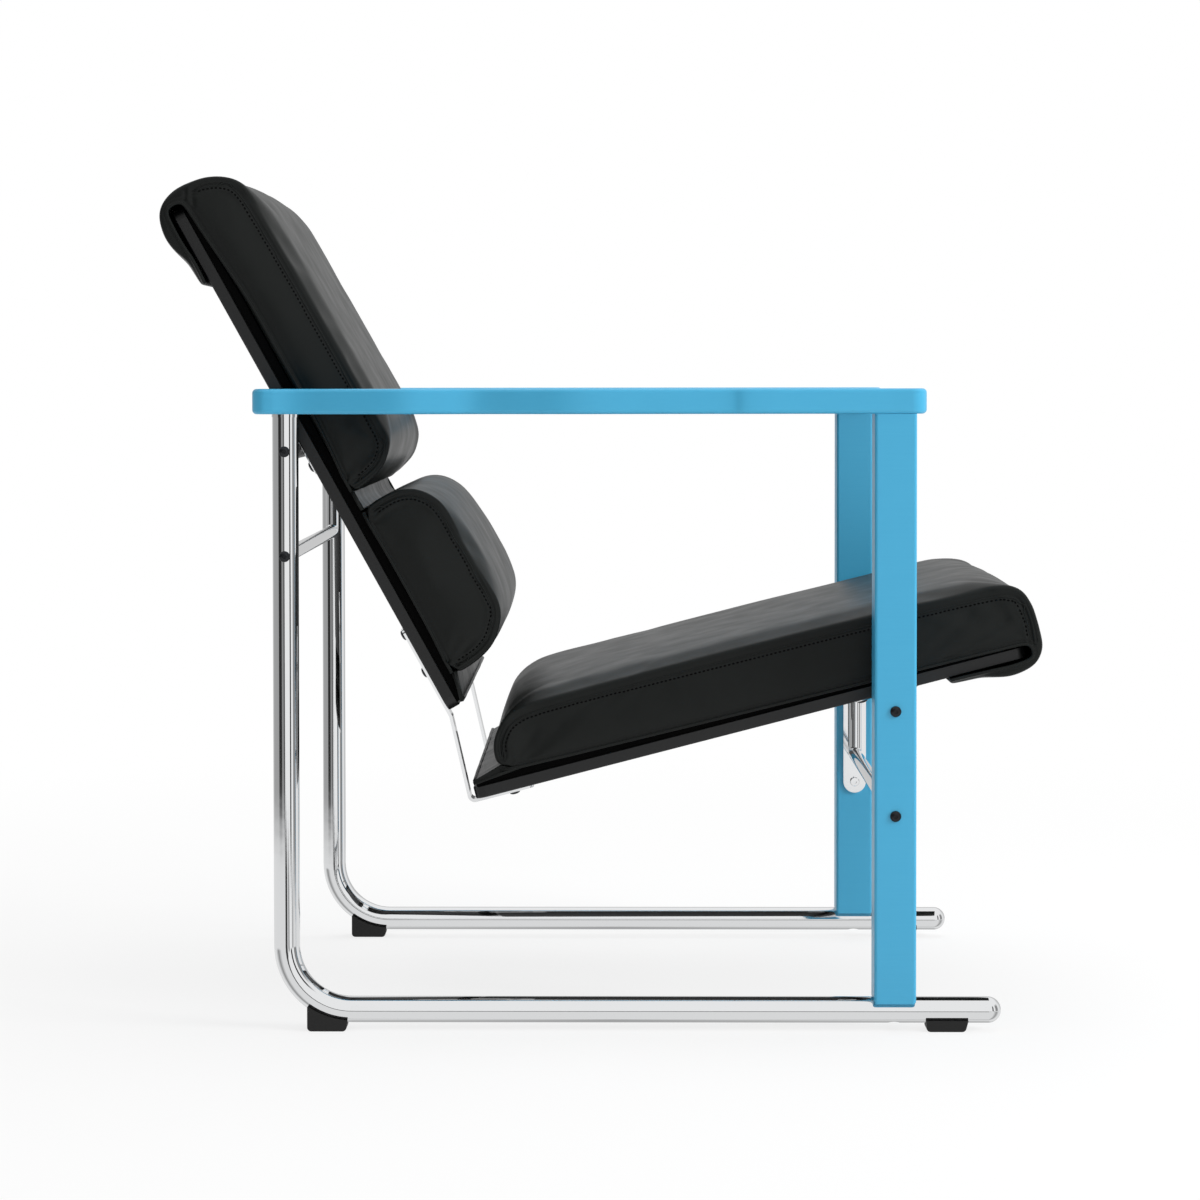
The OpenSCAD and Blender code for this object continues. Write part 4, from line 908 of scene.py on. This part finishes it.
studio = {
    "floor": "f4f4f4", "floorHalf": 14.0, "nearWhite": 0.78, "nearRadius": 0.8, "farRadius": 2.2,
    # Light on matt surfaces from the sides: its middle, and how much more comes from the front of the chair
    "sideLight": 0.56, "frontMore": 0.22,
    # Place, what it faces, size and power of each lamp
    "lamps": {
        "keyLight": ((3.3, -1.6, 1.9), (0, -0.1, 0.5), 1.4, 78.0),
        "topLight": ((0.3, 0.7, 3.4), (0, 0, 0.3), 2.8, 52.0),
    },
    # What mirrors see level with the chair: degrees from the camera's side toward the chair's front, shade
    "bands": [(-180, 0.62), (-136, 0.62), (-128, 0.44), (-62, 0.40), (-60, 0.03), (-34, 0.03), (-32, 0.32),
              (-18, 0.30), (-16, 0.10), (-7, 0.10), (-5, 1.0), (36, 1.0), (38, 0.01), (47, 0.01), (49, 1.0),
              (65, 1.0), (67, 0.28), (93, 0.30), (95, 0.95), (122, 0.90), (136, 0.62), (180, 0.62)],
    # What they see below: white floor, two narrow dark gaps toward the camera and a greyer stretch in front
    "floorBands": [(-180, 0.86), (-9, 0.86), (-7, 0.05), (8, 0.05), (10, 0.86), (17, 0.86), (19, 0.10),
                   (25, 0.10), (27, 1.0), (48, 1.0), (52, 0.45), (60, 0.45), (66, 0.86), (180, 0.86)],
    # Straight below: white floor, darker where no light falls on it
    "lowBands": [(-180, 0.45), (-150, 0.86), (-112, 0.90), (-78, 0.30), (-48, 0.86), (48, 0.86), (78, 0.35),
                 (112, 0.92), (150, 0.86), (180, 0.45)],
    "horizon": (-0.137, -0.120), "gapEnd": (-0.215, -0.19), "ceiling": (0.42, 0.62),
}


def paperSweep():
    # White paper floor: it takes the chair's shadow near the chair and fades to plain white farther out
    material = bpy.data.materials.new("whitePaperSweep")
    material.use_nodes = True
    tree = material.node_tree
    tree.nodes.clear()
    place = addNode(tree, "TexCoord").outputs["Object"]
    far = addNode(tree, "VectorMath", {0: place}, operation="LENGTH").outputs["Value"]
    white = addNode(tree, "MapRange", {"Value": far, "From Min": studio["nearRadius"],
                    "From Max": studio["farRadius"], "To Min": studio["nearWhite"], "To Max": 1.0},
                    interpolation_type="SMOOTHSTEP").outputs["Result"]
    seen = addNode(tree, "LightPath").outputs["Is Camera Ray"]
    share = addNode(tree, "Math", {0: white, 1: seen}, operation="MULTIPLY").outputs["Value"]
    paper = addNode(tree, "BsdfDiffuse", {"Color": linear(studio["floor"])}).outputs["BSDF"]
    glow = addNode(tree, "Emission", {"Color": (1, 1, 1, 1), "Strength": 1.0}).outputs["Emission"]
    mixed = addNode(tree, "MixShader", {0: share, 1: paper, 2: glow}).outputs["Shader"]
    addNode(tree, "OutputMaterial", {"Surface": mixed})
    return material


def bandRamp(tree, turn, bands):
    ramp = addNode(tree, "ValToRGB", {"Fac": turn})
    elements = ramp.color_ramp.elements
    elements.remove(elements[1])
    for k, (degrees, shade) in enumerate(bands):
        place = (degrees + 180) / 360
        element = elements[0] if k == 0 else elements.new(place)
        element.position, element.color = place, (shade, shade, shade, 1)
    return ramp.outputs["Color"]


def stepped(tree, value, ends):
    return addNode(tree, "MapRange", {"Value": value, "From Min": ends[0], "From Max": ends[1],
                                      "To Min": 0.0, "To Max": 1.0}).outputs["Result"]


def makeWorld():
    # White for the camera; a studio with cards, gaps and a white ceiling for mirrors; soft light for the rest
    world = bpy.data.worlds.new("studioWorld")
    bpy.context.scene.world = world
    world.use_nodes = True
    tree = world.node_tree
    tree.nodes.clear()
    way = addNode(tree, "SeparateXYZ", {"Vector": addNode(tree, "TexCoord").outputs["Generated"]})
    ahead = addNode(tree, "Math", {0: way.outputs["Y"], 1: -1.0}, operation="MULTIPLY")
    angle = addNode(tree, "Math", {0: way.outputs["X"], 1: ahead.outputs["Value"]}, operation="ARCTAN2")
    turn = addNode(tree, "MapRange", {"Value": angle.outputs["Value"], "From Min": -math.pi,
                                      "From Max": math.pi}).outputs["Result"]
    height = way.outputs["Z"]
    floorTone = addNode(tree, "MixRGB", {"Fac": stepped(tree, height, studio["gapEnd"]),
                        "Color1": bandRamp(tree, turn, studio["lowBands"]),
                        "Color2": bandRamp(tree, turn, studio["floorBands"])})
    level = addNode(tree, "MixRGB", {"Fac": stepped(tree, height, studio["horizon"]),
                    "Color1": floorTone.outputs["Color"], "Color2": bandRamp(tree, turn, studio["bands"])})
    mirrored = addNode(tree, "MixRGB", {"Fac": stepped(tree, height, studio["ceiling"]),
                       "Color1": level.outputs["Color"], "Color2": (1, 1, 1, 1)})
    side = addNode(tree, "MapRange", {"Value": way.outputs["X"], "From Min": -1.0, "From Max": 1.0,
                   "To Min": studio["sideLight"] - studio["frontMore"],
                   "To Max": studio["sideLight"] + studio["frontMore"]})
    path = addNode(tree, "LightPath")
    gloss = addNode(tree, "MixRGB", {"Fac": path.outputs["Is Glossy Ray"], "Color1": side.outputs["Result"],
                                     "Color2": mirrored.outputs["Color"]})
    shade = addNode(tree, "MixRGB", {"Fac": path.outputs["Is Camera Ray"], "Color1": gloss.outputs["Color"],
                                     "Color2": (1, 1, 1, 1)})
    light = addNode(tree, "Background", {"Color": shade.outputs["Color"], "Strength": 1.0})
    addNode(tree, "OutputWorld", {"Surface": light.outputs["Background"]})


def makeStudio():
    bm = bmesh.new()
    bmesh.ops.create_grid(bm, x_segments=2, y_segments=2, size=studio["floorHalf"])
    floor = newPiece("studioFloor", bm, "", paperSweep(), False)
    floor.visible_glossy = False
    for name, (place, target, size, power) in studio["lamps"].items():
        data = bpy.data.lights.new(name, "AREA")
        data.energy, data.size = power, size
        lamp = bpy.data.objects.new(name, data)
        bpy.context.scene.collection.objects.link(lamp)
        lamp.location, lamp.visible_glossy = place, False
        lamp.rotation_euler = (Vector(target) - Vector(place)).to_track_quat("-Z", "Y").to_euler()


def makeCamera():
    # The photo was taken level with the armrests, from the sitter's right
    view = {"place": (0.0126, -3.5592, 0.6205), "lens": 103.14, "sensor": 36.0, "pitchDown": 1.6,
            "roll": 0.06, "turn": 0.63, "shift": (0.0194, -0.1018), "clip": (0.05, 60)}
    data = bpy.data.cameras.new("photoCamera")
    data.lens, data.sensor_width = view["lens"], view["sensor"]
    data.shift_x, data.shift_y = view["shift"]
    data.clip_start, data.clip_end = view["clip"]
    camera = bpy.data.objects.new("photoCamera", data)
    bpy.context.scene.collection.objects.link(camera)
    camera.location = view["place"]
    camera.rotation_euler = [math.radians(a) for a in (90 - view["pitchDown"], view["roll"], view["turn"])]
    bpy.context.scene.camera = camera


makeWorld()
makeStudio()
makeCamera()
bpy.context.scene.view_settings.view_transform = "Standard"
print("scene ready")
